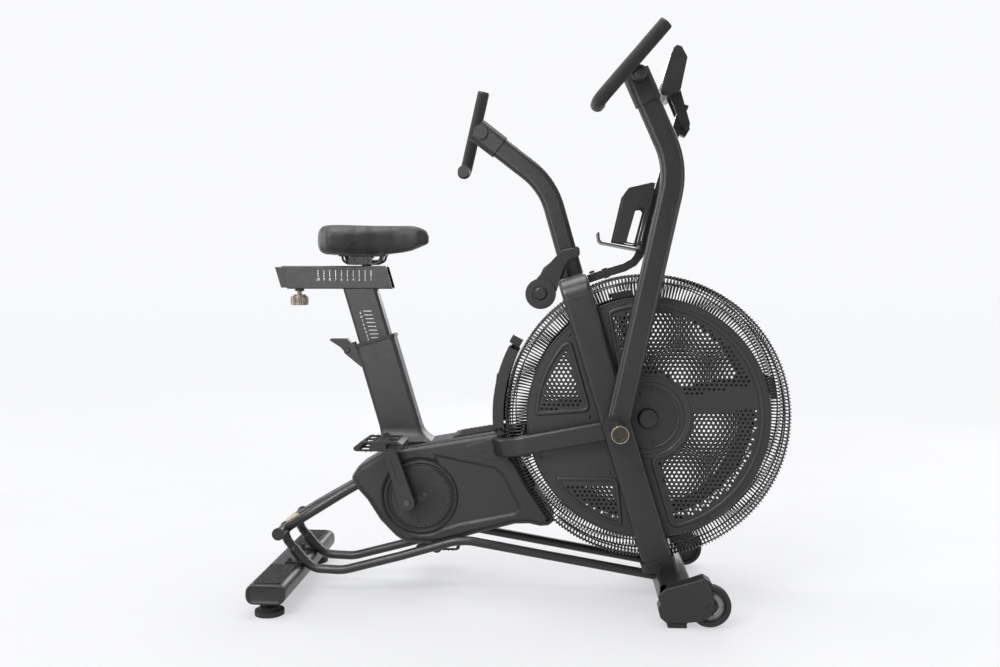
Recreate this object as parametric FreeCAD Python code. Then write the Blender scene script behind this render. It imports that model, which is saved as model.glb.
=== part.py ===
import FreeCAD, Part
import os
import math
from FreeCAD import Vector as V, Rotation, Placement

os.makedirs("parts", exist_ok=True)

# ---------------------------------------------------------------- dimensions (mm)
# Frame: +X forward (fan end), +Y rider's left, +Z up.
# Origin: centre of the overall box, on the floor.
FAN_X, FAN_Z = 309.0, 475.0          # fan axis
CAGE_R = 360.0                       # outside radius of the wire cage
CAGE_Y = 100.0                       # half width over the cage faces
PLATE_R = 303.0                      # perforated side plates
PLATE_T = 3.0
FAN_R = 286.0                        # paddle tip radius
CRANK_X, CRANK_Z = -299.5, 250.0     # bottom bracket axis
CRANK_LEN = 172.0
CRANK_ANG = 18.1                     # right crank, degrees behind vertical
JACK_X, JACK_Z = -112.0, 288.0       # jackshaft axis
R_CRANK_PULLEY, R_JACK_SMALL = 80.0, 20.0
R_JACK_LARGE, R_FAN_PULLEY = 42.0, 21.0
BELT_T = 3.0
MAST_TILT = -16.3                    # seat mast leans back
MAST_W, MAST_D, MAST_WALL = 105.0, 60.0, 3.0
POST_W, POST_D = 85.0, 45.0
MAST_TOP_Z = 657.0
LEG_TILT = -17.0                     # front uprights lean back
LEG_W, LEG_T = 74.0, 32.0
LEG_Y0 = 106.0                       # inside face of the uprights
ARM_PX, ARM_PZ = 229.5, 462.0        # arm pivot axis
ARM_TILT = 12.3
ARM_SWING = 28.2                     # angle between the two arms
ARM_Y = 166.0
ARM_W, ARM_T = 58.0, 32.0
SHROUD_HALF = 52.0
SHROUD_WALL = 3.0
WHEEL_X, WHEEL_Z, WHEEL_R = 444.0, 53.0, 50.0
STAB_HALF = 260.0
REAR_X, REAR_Z = -620.0, 58.0
LOW_TUBE_Y, LOW_TUBE_R = 66.0, 11.5

NODES = {}


def node(name, shape):
    if isinstance(shape, (list, tuple)):
        shape = Part.makeCompound(list(shape))
    NODES[name] = shape


# ---------------------------------------------------------------- helpers
def box(x0, x1, y0, y1, z0, z1):
    return Part.makeBox(x1 - x0, y1 - y0, z1 - z0, V(x0, y0, z0))


def ycyl(x, z, r, y0, y1):
    return Part.makeCylinder(r, y1 - y0, V(x, y0, z), V(0, 1, 0))


def ytube(x, z, ro, ri, y0, y1):
    return ycyl(x, z, ro, y0, y1).cut(ycyl(x, z, ri, y0 - 1, y1 + 1))


def zcyl(x, y, r, z0, z1):
    return Part.makeCylinder(r, z1 - z0, V(x, y, z0))


def rod(p, q, r):
    p, q = V(*p), V(*q)
    d = q - p
    return Part.makeCylinder(r, d.Length, p, d)


def fused(shapes):
    s = shapes[0]
    for t in shapes[1:]:
        s = s.fuse(t)
    return s.removeSplitter()


def mirror_y(s):
    return s.mirror(V(0, 0, 0), V(0, 1, 0))


def poly_face(pts, y):
    vs = [V(x, y, z) for x, z in pts]
    return Part.Face(Part.makePolygon(vs + [vs[0]]))


def prism(pts, y0, y1, r=0.0):
    """Polygon in XZ extruded along Y, corner edges rounded by r (a number or a list)."""
    s = poly_face(pts, y0).extrude(V(0, y1 - y0, 0))
    if r:
        rs = r if isinstance(r, (list, tuple)) else [r] * len(pts)
        for (x, z), rr in zip(pts, rs):
            if rr <= 0:
                continue
            for e in s.Edges:
                a, b = e.Vertexes[0].Point, e.Vertexes[-1].Point
                if abs(a.x - x) < 1e-4 and abs(a.z - z) < 1e-4 and abs(b.x - x) < 1e-4 \
                        and abs(b.z - z) < 1e-4 and abs(a.y - b.y) > 0.1:
                    try:
                        s = s.makeFillet(rr, [e])
                    except Exception:
                        pass
                    break
    return s


def rrect_wire(w, d, r):
    """Rounded rectangle in local XY, centred."""
    a, b = w / 2.0, d / 2.0
    k = r * (1 - math.sqrt(0.5))
    es = []
    es.append(Part.makeLine(V(-a + r, -b, 0), V(a - r, -b, 0)))
    es.append(Part.Arc(V(a - r, -b, 0), V(a - k, -b + k, 0), V(a, -b + r, 0)).toShape())
    if d - 2 * r > 1e-6:
        es.append(Part.makeLine(V(a, -b + r, 0), V(a, b - r, 0)))
    es.append(Part.Arc(V(a, b - r, 0), V(a - k, b - k, 0), V(a - r, b, 0)).toShape())
    es.append(Part.makeLine(V(a - r, b, 0), V(-a + r, b, 0)))
    es.append(Part.Arc(V(-a + r, b, 0), V(-a + k, b - k, 0), V(-a, b - r, 0)).toShape())
    if d - 2 * r > 1e-6:
        es.append(Part.makeLine(V(-a, b - r, 0), V(-a, -b + r, 0)))
    es.append(Part.Arc(V(-a, -b + r, 0), V(-a + k, -b + k, 0), V(-a + r, -b, 0)).toShape())
    return Part.Wire(es)


def rrect_prism(w, d, r, z0, z1, tilt=0.0, base=V(0, 0, 0)):
    """Rounded-rectangle bar along local Z, leaned about Y by tilt and moved to base."""
    f = Part.Face(rrect_wire(w, d, r))
    f.translate(V(0, 0, z0))
    s = f.extrude(V(0, 0, z1 - z0))
    s.Placement = Placement(base, Rotation(V(0, 1, 0), tilt)).multiply(s.Placement)
    return s


def sweep_face(pts, radii, face):
    """Carry a flat face along straight runs joined by tangent arcs."""
    P = [V(*p) for p in pts]
    n = len(P)
    if not isinstance(radii, (list, tuple)):
        radii = [radii] * (n - 2)
    f = face.copy()
    cur = P[0]
    pieces = []
    for i in range(1, n - 1):
        a = (P[i] - P[i - 1]).normalize()
        b = (P[i + 1] - P[i]).normalize()
        ang = a.getAngle(b)
        if ang < 1e-4:
            continue
        r = radii[i - 1]
        t = r * math.tan(ang / 2.0)
        p0 = P[i] - a * t
        if (p0 - cur).dot(a) > 1e-4:
            pieces.append(f.extrude(p0 - cur))
            f.translate(p0 - cur)
        bis = (b - a).normalize()
        c = P[i] + bis * (r / math.cos(ang / 2.0))
        axis = a.cross(b).normalize()
        pieces.append(f.revolve(c, axis, math.degrees(ang)))
        f.rotate(c, axis, math.degrees(ang))
        cur = P[i] + b * t
    pieces.append(f.extrude(P[-1] - cur))
    s = pieces[0]
    if len(pieces) > 1:
        s = s.fuse(pieces[1:])
    s = s.removeSplitter()
    return s.Solids[0] if len(s.Solids) == 1 else s


def sweep_round(pts, radii, r):
    d = (V(*pts[1]) - V(*pts[0])).normalize()
    return sweep_face(pts, radii, Part.Face(Part.Wire([Part.makeCircle(r, V(*pts[0]), d)])))


def round_tube(pts, radii, ro, ri):
    return sweep_round(pts, radii, ro).cut(sweep_round(pts, radii, ri))


def sweep_flat(pts, radii, w, d, r):
    """Rounded-rectangle bar swept along a path in a plane of constant Y.
    w is measured in the XZ plane, d along Y."""
    t = (V(*pts[1]) - V(*pts[0])).normalize()
    prof = rrect_wire(w, d, r)
    ang = math.degrees(math.atan2(t.x, t.z))
    prof.Placement = Placement(V(*pts[0]), Rotation(V(0, 1, 0), ang))
    return sweep_face(pts, radii, Part.Face(prof))


def strip(pts, t):
    """Outline of a bent flat bar: polyline centre pts (x, z), thickness t."""
    n = len(pts)
    L, R = [], []
    for i in range(n):
        if i == 0:
            dx, dz = pts[1][0] - pts[0][0], pts[1][1] - pts[0][1]
            m = 1.0
        elif i == n - 1:
            dx, dz = pts[-1][0] - pts[-2][0], pts[-1][1] - pts[-2][1]
            m = 1.0
        else:
            ax, az = pts[i][0] - pts[i - 1][0], pts[i][1] - pts[i - 1][1]
            bx, bz = pts[i + 1][0] - pts[i][0], pts[i + 1][1] - pts[i][1]
            la, lb = math.hypot(ax, az), math.hypot(bx, bz)
            ax, az, bx, bz = ax / la, az / la, bx / lb, bz / lb
            dx, dz = ax + bx, az + bz
            m = 1.0 / max(0.3, math.sqrt(max(1e-6, (1 + ax * bx + az * bz) / 2.0)))
        l = math.hypot(dx, dz)
        nx, nz = -dz / l, dx / l
        L.append((pts[i][0] + nx * t / 2 * m, pts[i][1] + nz * t / 2 * m))
        R.append((pts[i][0] - nx * t / 2 * m, pts[i][1] - nz * t / 2 * m))
    return L + R[::-1]


def revolve_y(profile, cx, cz, ang=360.0, start=0.0):
    """Profile of (radius, y) turned about the Y axis through (cx, cz).
    start and ang are degrees from +X towards +Z."""
    vs = [V(cx + r, y, cz) for r, y in profile]
    f = Part.Face(Part.makePolygon(vs + [vs[0]]))
    s = f.revolve(V(cx, 0, cz), V(0, -1, 0), ang)
    if start:
        s.rotate(V(cx, 0, cz), V(0, -1, 0), start)
    return s


def around(s, cx, cz, deg):
    """Copy turned about the Y axis through (cx, cz), from +X towards +Z."""
    t = s.copy()
    t.rotate(V(cx, 0, cz), V(0, -1, 0), deg)
    return t


def hexbolt_y(x, z, y, side, af=13.0, h=6.0, wr=9.0):
    """Hex head with washer on a face at y, pointing to side (+1 or -1)."""
    w = ycyl(x, z, wr, min(y, y + side * 1.6), max(y, y + side * 1.6))
    pts = []
    for i in range(6):
        a = math.radians(60 * i)
        pts.append(V(x + af / math.sqrt(3) * math.cos(a), y + side * 1.6, z + af / math.sqrt(3) * math.sin(a)))
    f = Part.Face(Part.makePolygon(pts + [pts[0]]))
    return w.fuse(f.extrude(V(0, side * h, 0))).removeSplitter()


def belt(c1, r1, c2, r2, t, y0, y1):
    """Open belt loop round two pulleys."""
    def hull(ra, rb):
        dx, dz = c2[0] - c1[0], c2[1] - c1[1]
        L = math.hypot(dx, dz)
        ux, uz = dx / L, dz / L
        s = (ra - rb) / L
        c = math.sqrt(1 - s * s)
        pts = []
        for sg in (1, -1):
            nx = ux * s - sg * uz * c
            nz = uz * s + sg * ux * c
            pts.append((nx, nz))
        (n1x, n1z), (n2x, n2z) = pts
        A = V(c1[0] + n1x * ra, y0, c1[1] + n1z * ra)
        B = V(c2[0] + n1x * rb, y0, c2[1] + n1z * rb)
        C = V(c2[0] + n2x * rb, y0, c2[1] + n2z * rb)
        D = V(c1[0] + n2x * ra, y0, c1[1] + n2z * ra)
        far = V(c2[0] + ux * rb, y0, c2[1] + uz * rb)
        near = V(c1[0] - ux * ra, y0, c1[1] - uz * ra)
        w = Part.Wire([Part.makeLine(A, B), Part.Arc(B, far, C).toShape(),
                       Part.makeLine(C, D), Part.Arc(D, near, A).toShape()])
        return Part.Face(w).extrude(V(0, y1 - y0, 0))
    return hull(r1 + t, r2 + t).cut(hull(r1, r2))


# ================================================================ FRAME
# ---- side loop: U tube round the back of the fan, sloping up forwards
LOOP_H, LOOP_T = 48.0, 26.0
LOOP_SLOPE = math.degrees(math.atan(0.195))
LOOP_XR = -84.0
lp_c = 119.0
xe = 215.0
loop_pts = [(xe, -lp_c, 0), (LOOP_XR + LOOP_T / 2, -lp_c, 0), (LOOP_XR + LOOP_T / 2, lp_c, 0), (xe, lp_c, 0)]


def loop_shape(h, t):
    prof = rrect_wire(t, h, min(7.0, t / 2 - 1))
    # local X -> world Y, local Y -> world Z at the first point (the path runs along -X)
    prof.Placement = Placement(V(*loop_pts[0]), Rotation(V(0, 1, 0), V(0, 0, 1), V(-1, 0, 0), "XYZ"))
    s = sweep_face(loop_pts, 75.0, Part.Face(prof))
    s.rotate(V(0, 0, 0), V(0, 1, 0), -LOOP_SLOPE)
    s.translate(V(0, 0, 406.0))
    return s


loop_outer = loop_shape(LOOP_H, LOOP_T)
loop_inner = loop_shape(LOOP_H - 5, LOOP_T - 5)

# ---- uprights: inverted U, two legs and a bent top piece
LEG_BASE = V(226.5, 0, 472.0)
S_BOT, S_LEG_TOP, S_UNDER = -395.0, 321.5, 339.5
R_IN = 18.0


def leg(y0, y1, s0, s1, w=LEG_W, r=9.0, grow=0.0):
    f = rrect_prism(w + 2 * grow, (y1 - y0) + 2 * grow, r + grow, s0, s1)
    f.translate(V(0, (y0 + y1) / 2.0, 0))
    f.Placement = Placement(LEG_BASE, Rotation(V(0, 1, 0), LEG_TILT)).multiply(f.Placement)
    return f


leg_r_out = leg(-LEG_Y0 - LEG_T, -LEG_Y0, S_BOT, S_LEG_TOP)
leg_r_in = leg(-LEG_Y0 - LEG_T + 2.5, -LEG_Y0 - 2.5, S_BOT - 1, S_LEG_TOP + 1, LEG_W - 5, 7.0)


def top_bend(t, w, r):
    yc = LEG_Y0 + LEG_T / 2.0
    rc = R_IN + LEG_T / 2.0
    pts = [(0, -yc, S_LEG_TOP - 0.0), (0, -yc, S_LEG_TOP + rc), (0, yc, S_LEG_TOP + rc), (0, yc, S_LEG_TOP - 1e-5)]
    prof = rrect_wire(w, t, r)
    prof.translate(V(*pts[0]))
    s = sweep_face(pts, rc, Part.Face(prof))
    s.Placement = Placement(LEG_BASE, Rotation(V(0, 1, 0), LEG_TILT)).multiply(s.Placement)
    return s


cross_out = top_bend(LEG_T, LEG_W, 9.0)
cross_in = top_bend(LEG_T - 5, LEG_W - 5, 7.0)

# ---- front stabilizer and its end brackets
FST = (330.0, 410.0, 40.0, 94.0)
front_stab_out = prism([(FST[0], FST[2]), (FST[1], FST[2]), (FST[1], FST[3]), (FST[0], FST[3])], -221, 221, 8.0)
front_stab_in = prism([(FST[0] + 3, FST[2] + 3), (FST[1] - 3, FST[2] + 3), (FST[1] - 3, FST[3] - 3), (FST[0] + 3, FST[3] - 3)], -222, 222, 6.0)

# leg feet sockets sit on the stabilizer
sock = leg(-LEG_Y0 - LEG_T - 5, -LEG_Y0 + 5, S_BOT - 30, S_BOT + 34, LEG_W + 12, 10.0)
sock_hole = leg(-LEG_Y0 - LEG_T, -LEG_Y0, S_BOT, S_BOT + 40, LEG_W, 9.0)
clear_floor = box(200, 500, -300, 300, -50, FST[3])
sock_r = sock.cut(sock_hole).cut(clear_floor)
leg_r_out = leg_r_out.cut(clear_floor)
leg_r = leg_r_out.cut(leg_r_in)
# pivot shaft hole through the upright
leg_r = leg_r.cut(ycyl(ARM_PX, ARM_PZ, 13.0, -200, -50))
node("right_upright", leg_r)
node("left_upright", mirror_y(leg_r))
node("top_crossbar", cross_out.cut(cross_in).cut(leg_r_out).cut(mirror_y(leg_r_out)))
node("right_leg_socket", sock_r)
node("left_leg_socket", mirror_y(sock_r))
node("front_stabilizer", front_stab_out.cut(front_stab_in))

legs_env = leg(-LEG_Y0 - LEG_T, -LEG_Y0, -500, 500)
loop = loop_outer.cut(loop_inner)
loop = loop.cut(legs_env).cut(mirror_y(legs_env)).cut(box(225, 600, -300, 300, 300, 600))
# keep only the part behind the uprights
front_part = leg(-200, -60, -500, 500, 400, 2.0)
front_part.translate(V(200 - 0.01, 0, 0))
loop = loop.cut(front_part).cut(mirror_y(front_part))
node("side_loop_tube", loop)

# ---- front end brackets with an ear for the transport wheel
br_pts = [(323, 47), (346, 90), (430, 121), (446, 112), (452, 96), (462, 62), (462, 38), (452, 36), (400, 30), (392, 13), (342, 13), (328, 25)]
br = prism(br_pts, -262, -222, [5, 6, 6, 4, 0, 6, 4, 4, 4, 2, 4, 6])
wheel_space = ycyl(WHEEL_X, WHEEL_Z, WHEEL_R + 4.5, -270, -235.5)
br = br.cut(wheel_space)
br = br.cut(ycyl(WHEEL_X, WHEEL_Z, 5.0, -240, -215))
node("right_front_bracket", br)
node("left_front_bracket", mirror_y(br))
pad = box(346, 391, -259, -225, 0, 13)
pad = pad.makeFillet(3.0, [e for e in pad.Edges if abs(e.Vertexes[0].Point.z - e.Vertexes[-1].Point.z) > 1])
node("front_foot_pads", [pad, mirror_y(pad)])

# ---- transport wheels
wh = revolve_y([(9.0, -260.5), (16, -260.5), (18, -256), (36, -256), (39, -259), (46, -260), (50, -257), (50, -241), (46, -238), (39, -238.5), (36, -242), (18, -242), (16, -238), (9.0, -238)], WHEEL_X, WHEEL_Z)
node("right_transport_wheel", wh)
node("left_transport_wheel", mirror_y(wh))
wb = fused([ycyl(WHEEL_X, WHEEL_Z, 8.94, -261.0, -236.5), ycyl(WHEEL_X, WHEEL_Z, 4.9, -237, -214), ycyl(WHEEL_X, WHEEL_Z, 11.5, -265.5, -261.0)])
wb = wb.cut(ycyl(WHEEL_X, WHEEL_Z, 4.0, -266, -263.0))
node("wheel_axle_bolts", [wb, mirror_y(wb)])

# ---- main beam inside the shroud, with the bottom bracket shell and jackshaft plate
beam_pts = [(-400, 288), (-345, 348), (-86, 424), (-86, 372), (-150, 330), (-262, 296), (-276, 236), (-323, 236), (-336, 262)]
beam = prism(beam_pts, -20, 20, [4, 10, 0, 0, 20, 12, 12, 12, 20])
beam_hollow = prism([(-368, 296), (-341, 340), (-95, 414), (-95, 379), (-155, 341), (-240, 316), (-300, 300)], -17.5, 17.5, 0)
beam = beam.cut(beam_hollow)
jack_plate = prism([(-150, 331), (-92, 368), (-88, 300), (-98, 270), (-126, 268), (-138, 290)], -6, 6, [0, 0, 8, 12, 12, 8])
beam = beam.fuse(jack_plate).removeSplitter()
beam = beam.cut(ycyl(CRANK_X, CRANK_Z, 22.0, -60, 60)).cut(ycyl(JACK_X, JACK_Z, 13.0, -60, 60))
beam = beam.cut(loop_outer)
bb_shell = ytube(CRANK_X, CRANK_Z, 22.0, 17.5, -40, 22.5)
beam = beam.fuse(bb_shell).removeSplitter()
node("main_beam", beam)

# ---- seat mast
ax0 = V(-392.0, 0, 656.0)
mast_base = V(-392.0 - math.tan(math.radians(MAST_TILT)) * 0, 0, 656.0)


def on_mast(w, d, r, s0, s1):
    return rrect_prism(w, d, r, s0, s1, MAST_TILT, mast_base)


mast_out = on_mast(MAST_W, MAST_D, 10.0, -400, 0.0)
mast_in = on_mast(MAST_W - 2 * MAST_WALL, MAST_D - 2 * MAST_WALL, 7.0, -401, 1.0)
beam_env = prism(beam_pts, -60, 60, 0)
under_beam = prism([(-460, 180), (-400, 288), (-345, 348), (-86, 424), (-86, 180)], -60, 60, 0)
mast = mast_out.cut(mast_in).cut(under_beam)
# latch pin window in the rear wall
mast = mast.cut(box(-470, -420, -5, 5, 628, 642))
node("seat_mast", mast)
bush_o = on_mast(MAST_W - 2 * MAST_WALL, MAST_D - 2 * MAST_WALL, 7.0, -62, 0.0)
bush_collar = on_mast(MAST_W + 6, MAST_D + 6, 12.0, 0.0, 9.0)
bush_i = on_mast(POST_W + 0.8, POST_D + 0.8, 8.0, -80, 20.0)
bush = bush_o.fuse(bush_collar).removeSplitter().cut(bush_i)
bush = bush.cut(box(-470, -420, -5, 5, 628, 642))
node("mast_bush", bush)
mast_collar_pts = [(-395, 394), (-268, 394), (-251, 407), (-258, 431), (-388, 431)]

# ---- lower tubes: from the rear stabilizer, under the shroud, to the front stabilizer
low_pts = [(-617.5, 140), (-578, 90), (-546, 67), (-472, 64), (-322, 104), (-180, 146), (-140, 147), (330, 67)]
low3 = [(x, -LOW_TUBE_Y, z) for x, z in low_pts]
low_radii = [60, 50, 110, 300, 120, 90]
low_out = sweep_round(low3, low_radii, LOW_TUBE_R)
low_in = sweep_round(low3, low_radii, LOW_TUBE_R - 2)

# ---- rear stabilizer: flat-oval tube with plastic end caps
rs_out = prism([(REAR_X - 49, REAR_Z - 25), (REAR_X + 49, REAR_Z - 25), (REAR_X + 49, REAR_Z + 25), (REAR_X - 49, REAR_Z + 25)], -STAB_HALF + 12, STAB_HALF - 12, 18.0)
rs_in = prism([(REAR_X - 46, REAR_Z - 22), (REAR_X + 46, REAR_Z - 22), (REAR_X + 46, REAR_Z + 22), (REAR_X - 46, REAR_Z + 22)], -STAB_HALF, STAB_HALF, 15.0)
node("rear_stabilizer", rs_out.cut(rs_in))
cap = prism([(REAR_X - 49, REAR_Z - 25), (REAR_X + 49, REAR_Z - 25), (REAR_X + 49, REAR_Z + 25), (REAR_X - 49, REAR_Z + 25)], -STAB_HALF, -STAB_HALF + 12, 18.0)
cap_face = [f for f in cap.Faces if abs(f.CenterOfMass.y + STAB_HALF) < 0.01][0]
cap = cap.makeFillet(4.0, cap_face.Edges)
plug = prism([(REAR_X - 46, REAR_Z - 22), (REAR_X + 46, REAR_Z - 22), (REAR_X + 46, REAR_Z + 22), (REAR_X - 46, REAR_Z + 22)], -STAB_HALF + 12, -STAB_HALF + 34, 15.0)
cap = cap.fuse(plug).removeSplitter()
node("rear_end_caps", [cap, mirror_y(cap)])
# levelling feet
ft = fused([zcyl(REAR_X, -222, 36.0, 0, 11), zcyl(REAR_X, -222, 24.0, 11, 20), zcyl(REAR_X, -222, 8.0, 20, REAR_Z - 25)])
node("right_rear_foot", ft)
node("left_rear_foot", mirror_y(ft))
# step pads on the stabilizer top
sp = prism([(REAR_X - 30, REAR_Z + 25), (REAR_X + 30, REAR_Z + 25), (REAR_X + 28, REAR_Z + 28), (REAR_X - 28, REAR_Z + 28)], -236, -104, 0)
node("rear_step_pads", [sp, mirror_y(sp)])

# carry bar
CB_X, CB_Z = -627.0, 170.0
cb = ytube(CB_X, CB_Z, 13.0, 10.5, -116, 116)
cb_env = ycyl(CB_X, CB_Z, 13.0, -116, 116)
node("carry_bar", cb)
cbg = ytube(CB_X, CB_Z, 15.5, 13.0, -50, 50)
node("carry_grip", cbg)
cbc = fused([ycyl(CB_X, CB_Z, 16.0, -122, -116), ycyl(CB_X, CB_Z, 10.5, -116, -100)])
node("carry_bar_caps", [cbc, mirror_y(cbc)])
# upper rear tubes: carry bar to main beam, drawing together
up_pts = [(CB_X, -66, CB_Z), (-560, -66, 212), (-470, -40, 266), (-372, -28, 322)]
up_out = sweep_round(up_pts, [120, 160], 12.5)
up_in = sweep_round(up_pts, [120, 160], 10.5)
up_r = up_out.cut(up_in).cut(cb_env).cut(prism(beam_pts, -20, 20, 0)).cut(mast_out)
up_r = max(up_r.Solids, key=lambda s: s.Volume)
node("right_upper_tube", up_r)
node("left_upper_tube", mirror_y(up_r))

low_r = low_out.cut(low_in).cut(rs_out).cut(front_stab_out).cut(cb_env).cut(up_out)
low_r = max(low_r.Solids, key=lambda s: s.Volume)
node("right_lower_tube", low_r)
node("left_lower_tube", mirror_y(low_r))
# clamp brackets holding the lower tubes on the stabilizer
cl = prism([(-614, 83), (-556, 83), (-556, 100), (-572, 114), (-600, 114), (-614, 100)], -86, -46, 4)
cl = cl.cut(low_out).cut(rs_out)
cl = max(cl.Solids, key=lambda s: s.Volume)
node("rear_clamps", [cl, mirror_y(cl)])
clb = [Part.makeCylinder(6.0, 5.0, V(-606, y, 100.5), V(-0.7, 0, 0.7)) for y in (-78, -54)]
cl_b = []
for y in (-82.2, -49.8):
    cl_b.append(zcyl(-588, y, 3.8, 114, 118))
node("rear_clamp_bolts", cl_b + [mirror_y(s) for s in cl_b])

# ================================================================ SHROUD
sh_pts = [(-362, 379), (-434, 334), (-453, 305), (-436, 275), (-410, 246), (-376, 193), (-336, 152), (-311, 136),
          (-218, 133), (-128, 161), (-25, 189), (12, 190), (40, 184), (62, 186), (78, 200), (57, 229), (13, 301),
          (-17, 355), (-32, 368), (-54, 404), (-57, 433), (-160, 415), (-224, 404)]
sh_r = [14, 14, 16, 0, 0, 10, 20, 18, 20, 30, 30, 0, 0, 12, 12, 30, 20, 0, 0, 14, 13, 0, 0]


def round_poly(pts, radii, seg=4):
    """Polygon with its corners replaced by short chords of an arc."""
    n = len(pts)
    out = []
    for i in range(n):
        a, b, c = pts[i - 1], pts[i], pts[(i + 1) % n]
        ux, uz = a[0] - b[0], a[1] - b[1]
        vx_, vz_ = c[0] - b[0], c[1] - b[1]
        lu, lv = math.hypot(ux, uz), math.hypot(vx_, vz_)
        ux, uz, vx_, vz_ = ux / lu, uz / lu, vx_ / lv, vz_ / lv
        half = math.acos(max(-1.0, min(1.0, ux * vx_ + uz * vz_))) / 2.0
        r = radii[i]
        t = r / math.tan(half) if half > 1e-3 else 0.0
        t = min(t, 0.42 * lu, 0.42 * lv)
        if r <= 0 or abs(half - math.pi / 2) < 0.02:
            out.append(b)
            continue
        r = t * math.tan(half)
        bx_, bz_ = ux + vx_, uz + vz_
        bl = math.hypot(bx_, bz_)
        cx, cz = b[0] + bx_ / bl * r / math.sin(half), b[1] + bz_ / bl * r / math.sin(half)
        p0 = (b[0] + ux * t, b[1] + uz * t)
        p1 = (b[0] + vx_ * t, b[1] + vz_ * t)
        a0 = math.atan2(p0[1] - cz, p0[0] - cx)
        a1 = math.atan2(p1[1] - cz, p1[0] - cx)
        d = (a1 - a0 + math.pi) % (2 * math.pi) - math.pi
        for k in range(seg + 1):
            w = a0 + d * k / seg
            out.append((cx + r * math.cos(w), cz + r * math.sin(w)))
    return out


def inset(pts, d):
    n = len(pts)
    area = sum(pts[i][0] * pts[(i + 1) % n][1] - pts[(i + 1) % n][0] * pts[i][1] for i in range(n))
    sg = 1.0 if area > 0 else -1.0
    out = []
    for i in range(n):
        a, b, c = pts[i - 1], pts[i], pts[(i + 1) % n]
        ux, uz = b[0] - a[0], b[1] - a[1]
        vx_, vz_ = c[0] - b[0], c[1] - b[1]
        lu, lv = math.hypot(ux, uz), math.hypot(vx_, vz_)
        n1 = (-uz / lu * sg, ux / lu * sg)
        n2 = (-vz_ / lv * sg, vx_ / lv * sg)
        mx, mz = n1[0] + n2[0], n1[1] + n2[1]
        k = d / max(0.35, (1 + n1[0] * n2[0] + n1[1] * n2[1]))
        out.append((b[0] + mx * k, b[1] + mz * k))
    return out


def bevelled(poly, y_out, y_shoulder, y_in, d):
    """Prism from y_in to y_shoulder, drawn in by d at y_out."""
    a = prism(poly, min(y_in, y_shoulder), max(y_in, y_shoulder), 0)
    w1 = Part.makePolygon([V(x, y_shoulder, z) for x, z in poly + poly[:1]])
    q = inset(poly, d)
    w2 = Part.makePolygon([V(x, y_out, z) for x, z in q + q[:1]])
    b = Part.makeLoft([w1, w2], True, True)
    return a.fuse(b).removeSplitter()


sh_poly = round_poly(sh_pts, sh_r, 4)
sh_out = bevelled(sh_poly, -SHROUD_HALF, -SHROUD_HALF + 5, -0.25, 4.0)
sh_inp = inset(sh_poly, SHROUD_WALL)
sh_in = bevelled(sh_inp, -SHROUD_HALF + SHROUD_WALL, -SHROUD_HALF + SHROUD_WALL + 4, 5.0, 3.0)
sh = sh_out.cut(sh_in)
# raised side panel band and a shallow recess line
mast_hole = on_mast(MAST_W + 2, MAST_D + 2, 11.0, -400, 50)
sh = sh.cut(mast_hole)
sh = sh.cut(sweep_round(up_pts, [120, 160], 13.5))
loop_env = loop_shape(LOOP_H + 3, LOOP_T + 3)
sh = sh.cut(loop_env)
sh = sh.cut(ycyl(CRANK_X, CRANK_Z, 24.0, -80, 0))
# the shroud opens into the fan cage
sh = sh.cut(ycyl(FAN_X, FAN_Z, 347.0, -SHROUD_HALF + SHROUD_WALL + 0.01, 10))
sh = sh.cut(ycyl(-110, 377, 5.0, -80, -40))
sh = max(sh.Solids, key=lambda s: s.Volume)
node("right_shroud", sh)
node("left_shroud", mirror_y(sh))
shroud_env = prism(inset(sh_poly, -0.6), -SHROUD_HALF - 0.6, SHROUD_HALF + 0.6, 0)

# round disc covers on the shroud sides
DX, DZ = -268.5, 258.0
dc = revolve_y([(0.5, -61), (80, -61), (84, -58.5), (88, -58.5), (93, -55), (93, -SHROUD_HALF), (0.5, -SHROUD_HALF)], DX, DZ)
dc = dc.cut(ycyl(DX, DZ, 0.6, -70, -40).cut(ycyl(DX, DZ, 0.4, -70, -40)))
dc = ycyl(DX, DZ, 2.0, -61, -SHROUD_HALF).fuse(dc).removeSplitter()
dc = dc.cut(ycyl(CRANK_X, CRANK_Z, 24.0, -80, 0))
node("right_disc_cover", dc)
node("left_disc_cover", mirror_y(dc))
# mast collar trim on the shroud top
mc = prism(mast_collar_pts, -43, 43, [2, 2, 6, 4, 4])
mc = mc.cut(mast_hole).cut(prism(sh_poly, -60, 60, 0))
mc = max(mc.Solids, key=lambda s: s.Volume)
node("mast_collar", mc)
# step pad on the shroud top, ahead of the mast
pad_pts = [(-184, 411), (-58, 433), (-59, 437.5), (-170, 418.5), (-184, 415)]
stp = prism(pad_pts, -46, 46, 0)
stp = stp.cut(prism(sh_poly, -60, 60, 0))
stp = max(stp.Solids, key=lambda s: s.Volume)
node("shroud_step_pad", stp)
# shroud screws
scr = [fused([ycyl(x, z, 4.6, -SHROUD_HALF - 1.8, -SHROUD_HALF)]) for x, z in [(-405, 300), (-300, 150), (40, 200), (-122, 396)]]
node("shroud_screws", scr + [mirror_y(s) for s in scr])

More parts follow.
